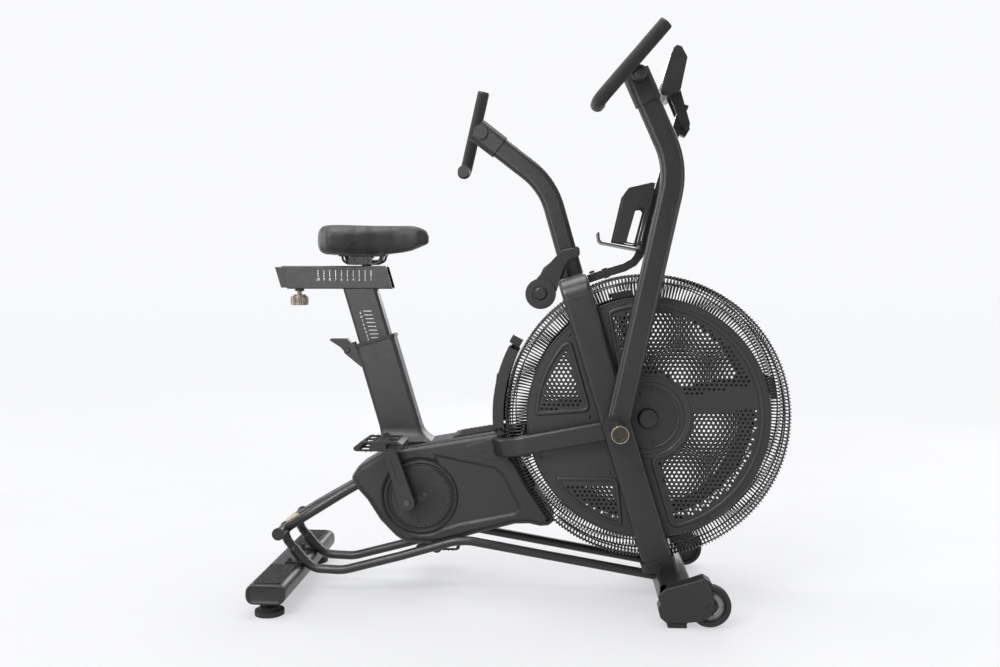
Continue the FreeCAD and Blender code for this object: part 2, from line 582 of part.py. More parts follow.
# ================================================================ FAN, CAGE AND COVERS
plate = revolve_y([(14.0, -CAGE_Y - PLATE_T), (PLATE_R, -CAGE_Y - PLATE_T), (PLATE_R, -CAGE_Y), (14.0, -CAGE_Y)], FAN_X, FAN_Z)
node("right_side_plate", plate)
node("left_side_plate", mirror_y(plate))
guard = revolve_y([(296, -CAGE_Y), (335, -CAGE_Y), (CAGE_R, -75), (CAGE_R, -0.25), (CAGE_R - 4, -0.25), (CAGE_R - 4, -73), (333, -CAGE_Y + 4), (296, -CAGE_Y + 4)], FAN_X, FAN_Z)
guard = guard.cut(shroud_env)
guard = max(guard.Solids, key=lambda s: s.Volume)
node("right_cage_guard", guard)
node("left_cage_guard", mirror_y(guard))
# stays across the cage at the four spokes
stays = []
for a in (14.0, 102.0, 194.0, 286.0):
    st = box(FAN_X + 306, FAN_X + 322, -CAGE_Y + 4, CAGE_Y - 4, FAN_Z - 27, FAN_Z + 27)
    st = st.cut(box(FAN_X + 303, FAN_X + 319, -CAGE_Y + 8, CAGE_Y - 8, FAN_Z - 40, FAN_Z + 40))
    st = around(st, FAN_X, FAN_Z, a)
    stays.append(st)
node("cage_stays", stays)
axle = fused([ycyl(FAN_X, FAN_Z, 9.0, -112, 112), ycyl(FAN_X, FAN_Z, 13.9, -105.4, -96.0), ycyl(FAN_X, FAN_Z, 13.9, 96.0, 105.4)])
node("fan_axle", axle)
hc = revolve_y([(14.2, -CAGE_Y - PLATE_T), (77, -CAGE_Y - PLATE_T), (76, -105.5), (26, -105.7), (22, -120), (0.5, -121), (0.5, -113.5), (14.2, -112.5)], FAN_X, FAN_Z)
hc = hc.fuse(ycyl(FAN_X, FAN_Z, 1.0, -121, -113.5)).removeSplitter()
node("right_hub_cover", hc)
node("left_hub_cover", mirror_y(hc))
hs = []
for a in (105.0, 195.0, 285.0, 15.0):
    x = FAN_X + 62 * math.cos(math.radians(a))
    z = FAN_Z + 62 * math.sin(math.radians(a))
    if x > 268 or True:
        hs.append(ycyl(x, z, 4.0, -106.0 if x < 275 else -108.5, -105.65))
node("hub_screws", hs + [mirror_y(s) for s in hs])

# fan wheel
blades = []
hub = ytube(FAN_X, FAN_Z, 42.0, 19.0, -84, 26)
parts_f = [hub]
for a in (14.0, 104.0, 194.0, 284.0):
    bl = box(FAN_X + 40, FAN_X + FAN_R, -84, 26, FAN_Z - 1.5, FAN_Z + 1.5)
    arm_t = box(FAN_X + 38, FAN_X + FAN_R - 30, -34, -24, FAN_Z - 9, FAN_Z + 9)
    parts_f.append(around(bl.fuse(arm_t).removeSplitter(), FAN_X, FAN_Z, a))
fan_w = fused(parts_f)
node("fan_wheel", fan_w)
fb1 = ytube(FAN_X, FAN_Z, 19.0, 9.05, -82, -70)
fb2 = ytube(FAN_X, FAN_Z, 19.0, 9.05, 12, 24)
node("fan_bearings", [fb1, fb2])
fp = fused([ycyl(FAN_X, FAN_Z, R_FAN_PULLEY, 37, 49), ycyl(FAN_X, FAN_Z, 26, 35, 37), ycyl(FAN_X, FAN_Z, 26, 49, 51), ycyl(FAN_X, FAN_Z, 18, 26, 35)])
fp = fp.cut(ycyl(FAN_X, FAN_Z, 9.3, 0, 60))
node("fan_pulley", fp)

# wind guard behind the cage
A0, A1 = 153.5, 185.4
wg = revolve_y([(363, -66), (391, -66), (391, 66), (363, 66), (363, 63), (388, 63), (388, -63), (363, -63)], FAN_X, FAN_Z, A1 - A0, A0)
wg = wg.cut(loop_shape(LOOP_H + 2, LOOP_T + 2)).cut(shroud_env)
wg = max(wg.Solids, key=lambda s: s.Volume)
node("wind_guard", wg)
clip = around(prism([(FAN_X + 366, FAN_Z - 12), (FAN_X + 396, FAN_Z - 12), (FAN_X + 396, FAN_Z + 10), (FAN_X + 366, FAN_Z + 10)], -18, 18, 3), FAN_X, FAN_Z, 151.0)
clip = clip.cut(revolve_y([(300, -70), (391.2, -70), (391.2, 70), (300, 70)], FAN_X, FAN_Z, A1 - A0, A0))
clip = max(clip.Solids, key=lambda s: s.Volume)
node("wind_guard_clip", clip)
tab = prism([(-78, 541), (-66, 538), (-62.2, 573), (-74, 576)], -16, 16, 2)
tab = tab.cut(ycyl(FAN_X, FAN_Z, 391.05, -70, 70))
tab = max(tab.Solids, key=lambda s: s.Volume)
node("wind_guard_tab", tab)

# ================================================================ CONSOLE MAST, TRAY, CONSOLE
cm_pts = [(100, 803), (165, 822), (206, 836), (252, 850), (276, 863), (291, 882), (303, 912), (311, 940), (338, 1046), (396, 1250)]
cm = prism(strip(cm_pts, 21.0), -20, 20, 0)
cm = cm.cut(cross_out)
cm = max(cm.Solids, key=lambda s: s.Volume)
node("console_mast", cm)
jr = prism(strip([(200, 834), (212, 838)], 26.0), -23, 23, 0).cut(prism(strip(cm_pts, 21.0), -20, 20, 0))
node("mast_joint_ring", jr)
mb = [Part.makeCylinder(7.0, 6.0, V(171.6, 0, 835.9), V(-0.323, 0, 0.946))]
node("mast_bolt", mb)
mast_cap = prism(strip([(396.2, 1250.7), (399.0, 1260.6)], 25.0), -23, 23, 0)
node("console_mast_cap", mast_cap)

# tray: folded sheet holder on the rear of the riser
side_pts = [(221.5, 916), (248.5, 1034), (260, 1049), (318, 1062), (326, 1060), (291, 920), (289, 904)]
cut_pts = [(255, 914), (276, 990), (286, 1000), (298, 1001), (303, 994), (281, 909)]
sd = prism(side_pts, -63, -60, 0).cut(prism(cut_pts, -70, -50, 4))
shelf = prism([(183, 938), (186, 918), (193, 911), (291, 892), (292.0, 895), (194, 914.5), (189, 920), (187, 939)], -63, 63, 0)
back = prism([(289, 904), (293, 903), (324.5, 1045), (321, 1046)], -60, 60, 0)
tray = fused([sd, mirror_y(sd), shelf, back, prism([(287, 893), (292, 892), (294, 906), (288, 907)], -63, 63, 0)])
tray = tray.cut(prism(strip(cm_pts, 21.4), -20.3, 20.3, 0))
tray = max(tray.Solids, key=lambda s: s.Volume)
node("tray", tray)
tb = [ycyl(317, 1050, 4.0, -66, -63), ycyl(291.5, 912, 4.0, -66, -63)]
node("tray_bolts", tb + [mirror_y(s) for s in tb])

# console: tilts on a bracket at the front of the riser
CPX, CPZ = 378.0, 1212.0
brk = prism([(389.5, 1188), (404, 1180), (416, 1200), (410, 1226), (398.5, 1221.5)], -12, 12, 2)
brk = brk.cut(prism(strip(cm_pts, 21.0), -30, 30, 0))
brk = max(brk.Solids, key=lambda s: s.Volume)
brk = brk.cut(ycyl(405, 1203, 4.0, -30, 30))
CPX, CPZ = 405.0, 1203.0
node("console_bracket", brk)
# housing: forward of the riser, screen faces the rider
u = V(math.sin(math.radians(15.5)), 0, math.cos(math.radians(15.5)))
hpts = [(352, 1290), (369, 1388), (375, 1395), (381, 1393), (391, 1372), (384, 1302), (372, 1284)]
housing = prism([(334, 1283), (366, 1389), (374, 1396), (386, 1392), (400, 1366), (384, 1286), (350, 1272), (338, 1274)], -78, 78, [3, 4, 4, 5, 8, 6, 4, 3])
# two ears reaching down to the tilt pin, either side of the riser
ear = prism([(362, 1280), (388, 1300), (414, 1212), (412, 1199), (403, 1194), (395, 1201)], -30, -24.5, [0, 0, 6, 6, 6, 6])
ears = [ear, mirror_y(ear)]
housing = fused([housing] + ears)
housing = housing.cut(ycyl(CPX, CPZ, 4.06, -40, 40))
housing = max(housing.Solids, key=lambda s: s.Volume)
pin = fused([ycyl(CPX, CPZ, 4.0, -31, 31), ycyl(CPX, CPZ, 7.0, -34, -31), ycyl(CPX, CPZ, 7.0, 31, 34)])
node("console_tilt_pin", pin)
# screen: thin plate on the rear face of the housing
ex, ez = 366 - 334, 1389 - 1283
el = math.hypot(ex, ez)
ux, uz = ex / el, ez / el
nx, nz = -uz, ux


def face_pt(s, n):
    return (334 + ux * s + nx * n, 1283 + uz * s + nz * n)


def face_box(s0, s1, n0, n1, y0, y1):
    return prism([face_pt(s0, n0), face_pt(s1, n0), face_pt(s1, n1), face_pt(s0, n1)], y0, y1, 0)


screen = face_box(34, 102, 0.0, 1.6, -68, 68)
node("console_screen", screen)
btn_depth = 5.0
holes = []
btns = {}
for nm, yb in (("button_left", 40.0), ("button_right", -40.0)):
    c = face_pt(17, 0)
    d = V(nx, 0, nz)
    hole = Part.makeCylinder(9.0, btn_depth + 1, V(c[0], yb, c[1]) - d * btn_depth, d)
    holes.append(hole)
    btns[nm] = Part.makeCylinder(8.6, 4.2, V(c[0], yb, c[1]) - d * 2.2, d)
for h in holes:
    housing = housing.cut(h)
NODES["console_housing"] = housing
for k, s in btns.items():
    node(k, s)

# arm lock lever on the crossbar, inboard of the left arm
BX, BZ = 37.0, 781.0
lk_pts = [(BX - 8, BZ + 30), (60, 845), (80, 868), (139, 906), (136, 886), (101, 869), (88, 850), (70, 782), (60, 760)]
LKY0, LKY1 = 84.0, 92.0
lock = prism([(24, 808), (44, 850), (76, 876), (134, 908), (141, 902), (138, 886), (106, 866), (90, 848), (76, 824), (68, 776), (56, 748)], LKY0, LKY1, [0, 10, 10, 4, 4, 6, 8, 8, 8, 0, 0])
lock = fused([lock, ycyl(BX, BZ, 41.0, LKY0 - 6, LKY1 + 2)])
lock = lock.cut(ycyl(BX, BZ, 22.0, LKY0 - 7, LKY0 - 3))
LPX, LPZ = 92.0, 858.0
lock = lock.cut(ycyl(LPX, LPZ, 4.05, 60, 110))
node("arm_lock_lever", lock)
lug = prism([(84, 812), (110, 824), (103, 862), (92, 870), (82, 862)], 94.5, 101.0, [0, 0, 8, 8, 8])
lug = lug.cut(cross_out).cut(ycyl(LPX, LPZ, 4.0, 60, 110))
lug = max(lug.Solids, key=lambda s: s.Volume)
node("lock_lug", lug)
lkp = fused([ycyl(LPX, LPZ, 4.0, 83.5, 101.0), ycyl(LPX, LPZ, 7.0, 80.5, 83.5), ycyl(LPX, LPZ, 7.0, 101.0, 104.0)])
node("lock_pin", lkp)
lock_badge = revolve_y([(0.5, LKY0 - 3), (17, LKY0 - 3), (17, LKY0 - 5), (14, LKY0 - 6.5), (0.5, LKY0 - 6.5)], BX, BZ)
lock_badge = lock_badge.fuse(ycyl(BX, BZ, 1.0, LKY0 - 6.5, LKY0 - 3)).removeSplitter()
node("lock_boss_cap", lock_badge)

# ================================================================ ARMS
def arm_pt(x, z):
    return (x, z)


th = math.radians(ARM_TILT)
LOWER = 641.0
vx, vz = ARM_PX + LOWER * math.sin(th), ARM_PZ + LOWER * math.cos(th)
th2 = math.radians(-24.0)
TL = 232.0
tx, tz = vx + TL * math.sin(th2), vz + TL * math.cos(th2)
ay = -ARM_Y
apts = [(ARM_PX, ay, ARM_PZ), (vx, ay, vz), (tx, ay, tz)]
arm_out = sweep_flat(apts, 200.0, ARM_W, ARM_T, 13.0)
arm_in = sweep_flat(apts, 200.0, ARM_W - 5, ARM_T - 5, 10.5)
hub_y0, hub_y1 = ay - ARM_T / 2 - 1.0, ay + ARM_T / 2 + 1.0
arm_hub = ycyl(ARM_PX, ARM_PZ, 34.0, hub_y0, hub_y1)
T_R = 18.0
T_Y0, T_Y1 = -226.0, -144.0
t_tube_o = ycyl(tx, tz, T_R, T_Y0, T_Y1)
arm = arm_out.cut(arm_in)
arm = arm.cut(ycyl(ARM_PX, ARM_PZ, 34.0, -300, 0)).fuse(arm_hub).removeSplitter()
arm = arm.cut(ycyl(ARM_PX, ARM_PZ, 16.05, -300, 0))
arm = arm.cut(t_tube_o)
arm = max(arm.Solids, key=lambda s: s.Volume)
# sleeve round the arm's top end
sl_dir = V(math.sin(th2), 0, math.cos(th2))
sl_base = V(tx, ay, tz)
slv = rrect_prism(ARM_W + 8, ARM_T + 8, 17.0, -66, 14, math.degrees(th2), sl_base)
slv = slv.cut(rrect_prism(ARM_W, ARM_T, 13.0, -90, 0.5, math.degrees(th2), sl_base)).cut(t_tube_o)
slv = max(slv.Solids, key=lambda s: s.Volume)
t_tube = ytube(tx, tz, T_R, T_R - 2.5, T_Y0, T_Y1)
t_cap = fused([ycyl(tx, tz, T_R + 1.5, T_Y1, T_Y1 + 5), ycyl(tx, tz, T_R - 2.5, T_Y1 - 12, T_Y1)])
# handle bar and foam grip
GY = -240.0
gt = (331.0, 1409.0)
gl = (192.0, 1250.0)
gdx, gdz = gl[0] - gt[0], gl[1] - gt[1]
gll = math.hypot(gdx, gdz)
gdx, gdz = gdx / gll, gdz / gll
ge = (gl[0] + gdx * 8, gl[1] + gdz * 8)
gpts = [(gt[0] + gdx * 4, GY, gt[1] + gdz * 4), (ge[0] + gdx * 12, GY, ge[1] + gdz * 12), (ge[0] + gdx * 12, GY + 52, ge[1] + gdz * 12)]
bar_o = sweep_round(gpts, [26.0], 12.5)
bar_i = sweep_round(gpts, [26.0], 10.0)
hb = bar_o.cut(bar_i).cut(ycyl(tx, tz, T_R, T_Y0, T_Y1))
hb = max(hb.Solids, key=lambda s: s.Volume)
gstart = V(gt[0] + gdx * 4, GY, gt[1] + gdz * 4)
gd = V(gdx, 0, gdz)
grip = Part.makeCylinder(16.0, 190.0, gstart, gd).cut(Part.makeCylinder(12.5, 200.0, gstart - gd * 4, gd))
grip = grip.cut(t_tube_o)
grip = max(grip.Solids, key=lambda s: s.Volume)
gcap_t = Part.makeCylinder(16.5, 4.0, gstart - gd * 4, gd).fuse(Part.makeCylinder(10.0, 12.0, gstart, gd)).removeSplitter()
epx, epz = ge[0] + gdx * 12, ge[1] + gdz * 12
egrip = ytube(epx, epz, 16.0, 12.5, GY + 29, GY + 52)
gcap_e = fused([ycyl(epx, epz, 16.5, GY + 52, GY + 56), ycyl(epx, epz, 10.0, GY + 42, GY + 52)])
arm_set = {"arm": arm, "arm_sleeve": slv, "handle_stub": t_tube, "handle_stub_cap": t_cap, "handle_bar": hb}
grip_set = [grip, egrip]
cap_set = [gcap_t, gcap_e]
bush_a = ytube(ARM_PX, ARM_PZ, 16.0, 12.0, hub_y0, hub_y1)


def to_left(s):
    t = mirror_y(s)
    t.rotate(V(ARM_PX, 0, ARM_PZ), V(0, 1, 0), -ARM_SWING)
    return t


for k, s in arm_set.items():
    node("right_" + k, s)
    node("left_" + k, to_left(s))
node("right_foam_grip", grip_set)
node("left_foam_grip", [to_left(s) for s in grip_set])
node("right_grip_caps", cap_set)
node("left_grip_caps", [to_left(s) for s in cap_set])
node("arm_bushes", [bush_a, mirror_y(bush_a)])
# pivot shaft and foot peg, fixed in the upright
sh_a = fused([ycyl(ARM_PX, ARM_PZ, 12.0, -196, -108.6), ycyl(ARM_PX, ARM_PZ, 22.0, -147, -138.0)])
pg = ytube(ARM_PX, ARM_PZ, 19.0, 12.0, -290, -184.5)
pg = pg.fuse(ycyl(ARM_PX, ARM_PZ, 12.0, -286, -197)).removeSplitter()
pg = pg.cut(ycyl(ARM_PX, ARM_PZ, 12.02, -196.5, -184))
node("pivot_shafts", [sh_a, mirror_y(sh_a)])
node("right_foot_peg", pg)
node("left_foot_peg", mirror_y(pg))
pr = ytube(ARM_PX, ARM_PZ, 20.5, 19.0, -290, -284)
node("peg_end_rings", [pr, mirror_y(pr)])

# ================================================================ CRANKSET
sp_c = fused([ycyl(CRANK_X, CRANK_Z, 9.95, -79, 79)])
node("crank_spindle", sp_c)
bbb = [ytube(CRANK_X, CRANK_Z, 17.5, 10.0, -38, -26), ytube(CRANK_X, CRANK_Z, 17.5, 10.0, 9, 21)]
node("crank_bearings", bbb)
ca = math.radians(CRANK_ANG)
px, pz = CRANK_X - CRANK_LEN * math.sin(ca), CRANK_Z + CRANK_LEN * math.cos(ca)


def crank(y0, y1):
    ux_, uz_ = math.cos(ca), math.sin(ca)      # across the arm
    w0, w1 = 20.0, 15.0
    b = [(CRANK_X + ux_ * w0, CRANK_Z + uz_ * w0), (px + ux_ * w1, pz + uz_ * w1),
         (px - ux_ * w1, pz - uz_ * w1), (CRANK_X - ux_ * w0, CRANK_Z - uz_ * w0)]
    s = prism(b, y0, y1, 0)
    s = fused([s, ycyl(CRANK_X, CRANK_Z, w0, y0, y1), ycyl(px, pz, w1, y0, y1)])
    return s


cr = crank(-98, -80)
boss = ycyl(CRANK_X, CRANK_Z, 20.0, -80, -66)
cr = cr.fuse(boss).removeSplitter()
cr = cr.cut(ycyl(CRANK_X, CRANK_Z, 9.95, -79, -60)).cut(ycyl(px, pz, 7.0, -110, -60))
# grooves on the outer face
g1 = prism([(px + 0.30 * (CRANK_X - px) - 4, pz + 0.30 * (CRANK_Z - pz) - 1), (px + 0.30 * (CRANK_X - px) + 4, pz + 0.30 * (CRANK_Z - pz) + 1),
            (px + 0.72 * (CRANK_X - px) + 5, pz + 0.72 * (CRANK_Z - pz) + 1), (px + 0.72 * (CRANK_X - px) - 5, pz + 0.72 * (CRANK_Z - pz) - 1)], -99, -96.5, 0)
cr = cr.cut(g1)
node("right_crank", cr)
# left crank points the opposite way: mirror through the spindle axis, then half a turn about Y
lcr = mirror_y(cr)
lcr.rotate(V(CRANK_X, 0, CRANK_Z), V(0, 1, 0), 180)
node("left_crank", lcr)
cb_r = ycyl(CRANK_X, CRANK_Z, 7.5, -101, -98)
node("crank_bolts", [cb_r, mirror_y(cb_r)])
# pedals
qx, qz = 2 * CRANK_X - px, 2 * CRANK_Z - pz


def pedal(cx, cz, sg):
    """sg = -1 right side (towards -Y), +1 left side."""
    y0, y1 = (101.5, 199.5)
    pts = [(-60, -10), (-52, -13), (52, -13), (60, -10), (60, 5), (48, 12), (-38, 12), (-60, -2)]
    b = prism([(cx + x, cz + z) for x, z in pts], y0, y1, [3, 0, 0, 3, 5, 5, 8, 3])
    b = b.cut(box(cx - 46, cx - 18, y0 + 14, y1 - 14, cz - 30, cz + 30)).cut(box(cx + 18, cx + 46, y0 + 14, y1 - 14, cz - 30, cz + 30))
    b = b.cut(ycyl(cx, cz, 7.05, y0 - 5, y1 - 6))
    if sg < 0:
        b = mirror_y(b)
    return b


def pedal_axle(cx, cz, sg):
    a = fused([ycyl(cx, cz, 7.0, 81.0, y1p := 192.0), ycyl(cx, cz, 10.0, 98.05, 101.2)])
    return mirror_y(a) if sg < 0 else a


node("right_pedal", pedal(px, pz, -1))
node("left_pedal", pedal(qx, qz, 1))
node("pedal_axles", [pedal_axle(px, pz, -1), pedal_axle(qx, qz, 1)])
# pulleys and belts
cp = fused([ycyl(CRANK_X, CRANK_Z, R_CRANK_PULLEY, 25.5, 34.5), ycyl(CRANK_X, CRANK_Z, 24, 23.2, 46)])
lh = []
for i in range(6):
    a = math.radians(60 * i + 20)
    lh.append(ycyl(CRANK_X + 51 * math.cos(a), CRANK_Z + 51 * math.sin(a), 15, 20, 40))
cp = cp.cut(ycyl(CRANK_X, CRANK_Z, 9.95, 0, 60))
for h in lh:
    cp = cp.cut(h)
node("crank_pulley", cp)
js = fused([ycyl(JACK_X, JACK_Z, 6.0, -16, 48)])
node("jackshaft", js)
jb = ytube(JACK_X, JACK_Z, 13.0, 6.05, -6, 6)
node("jackshaft_bearing", jb)
jp1 = ytube(JACK_X, JACK_Z, R_JACK_SMALL, 6.0, 24.5, 35.8)
jp2 = ytube(JACK_X, JACK_Z, R_JACK_LARGE, 6.0, 37.5, 47.5)
node("jackshaft_pulleys", [jp1, jp2])
g = 0.35
belt_env = belt((JACK_X, JACK_Z), R_JACK_LARGE, (FAN_X, FAN_Z), R_FAN_PULLEY, BELT_T + g + 2.0, 36.5, 48.5)
for nm in ("left_shroud", "left_cage_guard"):
    NODES[nm] = max(NODES[nm].cut(belt_env).Solids, key=lambda s: s.Volume)
NODES["cage_stays"] = Part.makeCompound([max(x.cut(belt_env).Solids, key=lambda s: s.Volume) for x in NODES["cage_stays"].Solids])
b1 = belt((CRANK_X, CRANK_Z), R_CRANK_PULLEY + g, (JACK_X, JACK_Z), R_JACK_SMALL + g, BELT_T, 26, 34)
b2 = belt((JACK_X, JACK_Z), R_JACK_LARGE + g, (FAN_X, FAN_Z), R_FAN_PULLEY + g, BELT_T, 38.5, 46.5)
node("drive_belts", [b1, b2])

# ================================================================ SEAT
# post
post_o = on_mast(POST_W, POST_D, 8.0, -175, 160)
post_i = on_mast(POST_W - 5, POST_D - 5, 5.5, -176, 170)
SL_X0T, SL_X0B, SL_X1T, SL_X1B = -638.5, -623.5, -362.5, -345.5
SL_Z0, SL_Z1 = 795.0, 855.0
sl_half = 22.5
above = box(-900, 0, -100, 100, SL_Z0, 1200)
post = post_o.cut(post_i).cut(above)
# row of index holes in the rear wall
for i in range(9):
    s = -165 + i * 25.0
    c = mast_base + Rotation(V(0, 1, 0), MAST_TILT).multVec(V(-POST_W / 2, 0, s))
    dd = Rotation(V(0, 1, 0), MAST_TILT).multVec(V(1, 0, 0))
    post = post.cut(Part.makeCylinder(5.0, 8, c - dd * 3, dd))
node("seat_post", post)
sl_pts = [(SL_X0B, SL_Z0), (SL_X1B, SL_Z0), (SL_X1T, SL_Z1), (SL_X0T, SL_Z1)]
sl_o = prism(sl_pts, -sl_half, sl_half, 0)
sl_o = sl_o.makeFillet(3.0, [e for e in sl_o.Edges if abs(e.Vertexes[0].Point.z - e.Vertexes[-1].Point.z) < 0.01 and abs(e.Vertexes[0].Point.y - e.Vertexes[-1].Point.y) < 0.01])
sl_i = box(-700, -300, -sl_half + 2.5, sl_half - 2.5, SL_Z0 + 2.5, SL_Z1 - 2.5)
sl = sl_o.cut(sl_i).cut(box(-560, -380, -13.5, 13.5, SL_Z1 - 5, SL_Z1 + 5)).cut(zcyl(-597, 0, 7.0, SL_Z0 - 5, SL_Z0 + 5))
node("slider_tube", sl)
sb = prism([(-640.5, SL_Z0 + 3.0), (-371, SL_Z0 + 3.0), (-384, SL_Z1 - 3.0), (-656.5, SL_Z1 - 3.0)], -sl_half + 3.0, sl_half - 3.0, 0)
sb_i = box(-625, -460, -sl_half + 6, sl_half - 6, SL_Z0 + 6, SL_Z1 - 6)
sb = sb.cut(sb_i)
node("slider_bar", sb)
stem = box(-429, -405, -12, 12, SL_Z1 - 3.0, 868)
stem = stem.fuse(prism([(-459, 864), (-402, 864), (-398, 872), (-401, 880), (-456, 880), (-462, 872)], -24, 24, 3)).removeSplitter()
rl = []
for sy in (-1, 1):
    r_pts = [(-500, sy * 34, 885), (-478, sy * 30, 875), (-460, sy * 24, 872), (-400, sy * 24, 872), (-376, sy * 20, 880), (-340, sy * 12, 890)]
    rl.append(sweep_round(r_pts, [30, 30, 30, 30], 3.6))
for r_ in rl:
    stem = stem.cut(r_)
stem = max(stem.Solids, key=lambda s: s.Volume)
node("saddle_clamp", stem)
SADX0, SADX1 = -534.5, -250.0
# saddle base: moulded shell under the pad
base_plan = [(-520, 0), (-522, 60), (-515, 92), (-490, 103), (-455, 96), (-420, 70), (-385, 42), (-340, 28), (-290, 20), (-272, 0)]


def plan_wire(pts, z):
    full = [V(x, y, z) for x, y in pts] + [V(x, -y, z) for x, y in pts[::-1] if abs(y) > 0.01]
    bs = Part.BSplineCurve()
    bs.interpolate(full, PeriodicFlag=True)
    return Part.Wire([bs.toShape()])


def loft(ws):
    return Part.makeLoft(ws, True, False)


def scaled_plan(pts, sx, sy, cx, dx=0.0):
    return [(cx + (x - cx) * sx + dx, y * sy) for x, y in pts]


sad_base = loft([plan_wire(scaled_plan(base_plan, 0.90, 0.84, -400), 884), plan_wire(scaled_plan(base_plan, 0.99, 0.97, -400), 895)])
sad_base = sad_base.cut(rl[0]).cut(rl[1])
sad_base = max(sad_base.Solids, key=lambda s: s.Volume)
node("saddle_base", sad_base)
rl = [max(r_.cut(sad_base).Solids, key=lambda s: s.Volume) for r_ in rl]
node("saddle_rails", rl)
pad_plan = [(-534, 0), (-532, 62), (-520, 98), (-494, 115), (-455, 108), (-415, 78), (-378, 48), (-330, 33), (-275, 26), (-253, 12), (-250, 0)]
sad = loft([plan_wire(scaled_plan(pad_plan, 0.955, 0.93, -400), 895.2),
            plan_wire(scaled_plan(pad_plan, 1.0, 1.0, -400), 912),
            plan_wire(scaled_plan(pad_plan, 1.0, 1.0, -400), 935),
            plan_wire(scaled_plan(pad_plan, 0.965, 0.95, -400), 950),
            plan_wire(scaled_plan(pad_plan, 0.86, 0.80, -400), 959)])
node("saddle_pad", sad)
# knob under the slider tube's rear
kn = fused([zcyl(-597, 0, 22.0, 752, 776), zcyl(-597, 0, 23.2, 757, 771), zcyl(-597, 0, 18.0, 776, 780), zcyl(-597, 0, 6.5, 780, SL_Z0 + 2.4)])
node("slider_knob", kn)
kc = Part.makeCylinder(12.5, 6.0, V(-597, 0, 788.9)).cut(Part.makeCylinder(6.56, 8.0, V(-597, 0, 788)))
node("knob_collar", kc)
# latch
LX, LZ = -467.5, 635.0
lev = prism([(-522, 664), (-468, 664), (-455, 650), (-456, 628), (-468, 621), (-487, 642)], -11, 11, [3, 6, 6, 6, 8, 10])
lev = lev.cut(ycyl(LX, LZ, 4.05, -30, 30))
node("latch_lever", lev)
mast_env = on_mast(MAST_W, MAST_D, 10.0, -400, 0.0)
ear_l = prism([(LX - 10, LZ), (LX - 7, LZ - 9), (-430, 590), (-425, 650), (-452, 656), (LX - 6, LZ + 9)], -16.5, -12, [5, 5, 0, 0, 3, 5])
plate_l = prism([(-447, 655), (-425, 655), (-405, 592), (-433, 592), (-434, 600), (-445.0, 648)], -16.5, 16.5, 0)
lb_ = fused([ear_l, mirror_y(ear_l)])
lb2 = plate_l.cut(box(-500, -380, -12, 12, 606, 700))
lb_ = lb_.fuse(lb2).removeSplitter().cut(mast_env).cut(on_mast(MAST_W + 6.4, MAST_D + 6.4, 12.0, -0.01, 60)).cut(ycyl(LX, LZ, 4.0, -30, 30))
node("latch_bracket", [s for s in lb_.Solids if s.Volume > 200])
lp_ = fused([ycyl(LX, LZ, 4.0, -16.5, 16.5), ycyl(LX, LZ, 6.0, -19.5, -16.5), ycyl(LX, LZ, 6.0, 16.5, 19.5)])
node("latch_pin", lp_)

# frame bolts
fbolts = [hexbolt_y(ARM_PX + 96.0, 118.0, -LEG_Y0 - LEG_T - 5.0, -1)]
bx, bz = 226.5 - math.sin(math.radians(LEG_TILT)) * (-380), 472.0 + math.cos(math.radians(LEG_TILT)) * (-380)
fbolts = [hexbolt_y(226.5 + math.sin(math.radians(LEG_TILT)) * s_, 472.0 + math.cos(math.radians(LEG_TILT)) * s_, -LEG_Y0 - LEG_T - 5.0, -1) for s_ in (-376.0,)]
node("frame_bolts", fbolts + [mirror_y(s) for s in fbolts])

# ================================================================ grouping
# Pieces that are alike and move together share a node as separate solids.
GROUPS = {
    "front_frame": ["right_upright", "left_upright", "top_crossbar"],
    "stabilizers": ["front_stabilizer", "rear_stabilizer"],
    "stabilizer_brackets": ["right_front_bracket", "left_front_bracket", "right_leg_socket", "left_leg_socket", "rear_clamps"],
    "feet": ["front_foot_pads", "right_rear_foot", "left_rear_foot"],
    "rear_tubes": ["right_lower_tube", "left_lower_tube", "right_upper_tube", "left_upper_tube"],
    "tube_end_caps": ["rear_end_caps", "carry_bar_caps", "console_mast_cap", "mast_joint_ring"],
    "step_pads": ["rear_step_pads", "shroud_step_pad"],
    "carry_bar": ["carry_bar", "carry_grip"],
    "shroud_trim": ["right_disc_cover", "left_disc_cover", "mast_collar"],
    "side_plates": ["right_side_plate", "left_side_plate"],
    "cage_guards": ["right_cage_guard", "left_cage_guard"],
    "hub_covers": ["right_hub_cover", "left_hub_cover"],
    "wind_guard": ["wind_guard", "wind_guard_clip", "wind_guard_tab"],
    "hinge_brackets": ["console_bracket", "latch_bracket", "lock_lug"],
    "fixed_shafts": ["pivot_shafts", "fan_axle"],
    "foot_pegs": ["right_foot_peg", "left_foot_peg"],
    "fasteners": ["wheel_axle_bolts", "rear_clamp_bolts", "shroud_screws", "hub_screws", "mast_bolt", "tray_bolts",
                  "console_tilt_pin", "latch_pin", "lock_pin", "frame_bolts"],
    "bearings_and_bushes": ["crank_bearings", "jackshaft_bearing", "arm_bushes"],
    "arm_lock_lever": ["arm_lock_lever", "lock_boss_cap"],
    "fan_hub_parts": ["fan_bearings", "fan_pulley"],
    "jackshaft": ["jackshaft", "jackshaft_pulleys"],
    "crank_arms": ["right_crank", "left_crank"],
    "crank_spindle": ["crank_spindle", "crank_bolts", "pedal_axles"],
    "right_arm_trim": ["right_arm_sleeve", "right_handle_stub_cap", "right_grip_caps"],
    "left_arm_trim": ["left_arm_sleeve", "left_handle_stub_cap", "left_grip_caps"],
    "right_handle": ["right_handle_stub", "right_handle_bar"],
    "left_handle": ["left_handle_stub", "left_handle_bar"],
    "slider_tube": ["slider_tube", "knob_collar"],
    "saddle_clamp": ["saddle_clamp", "saddle_rails"],
}
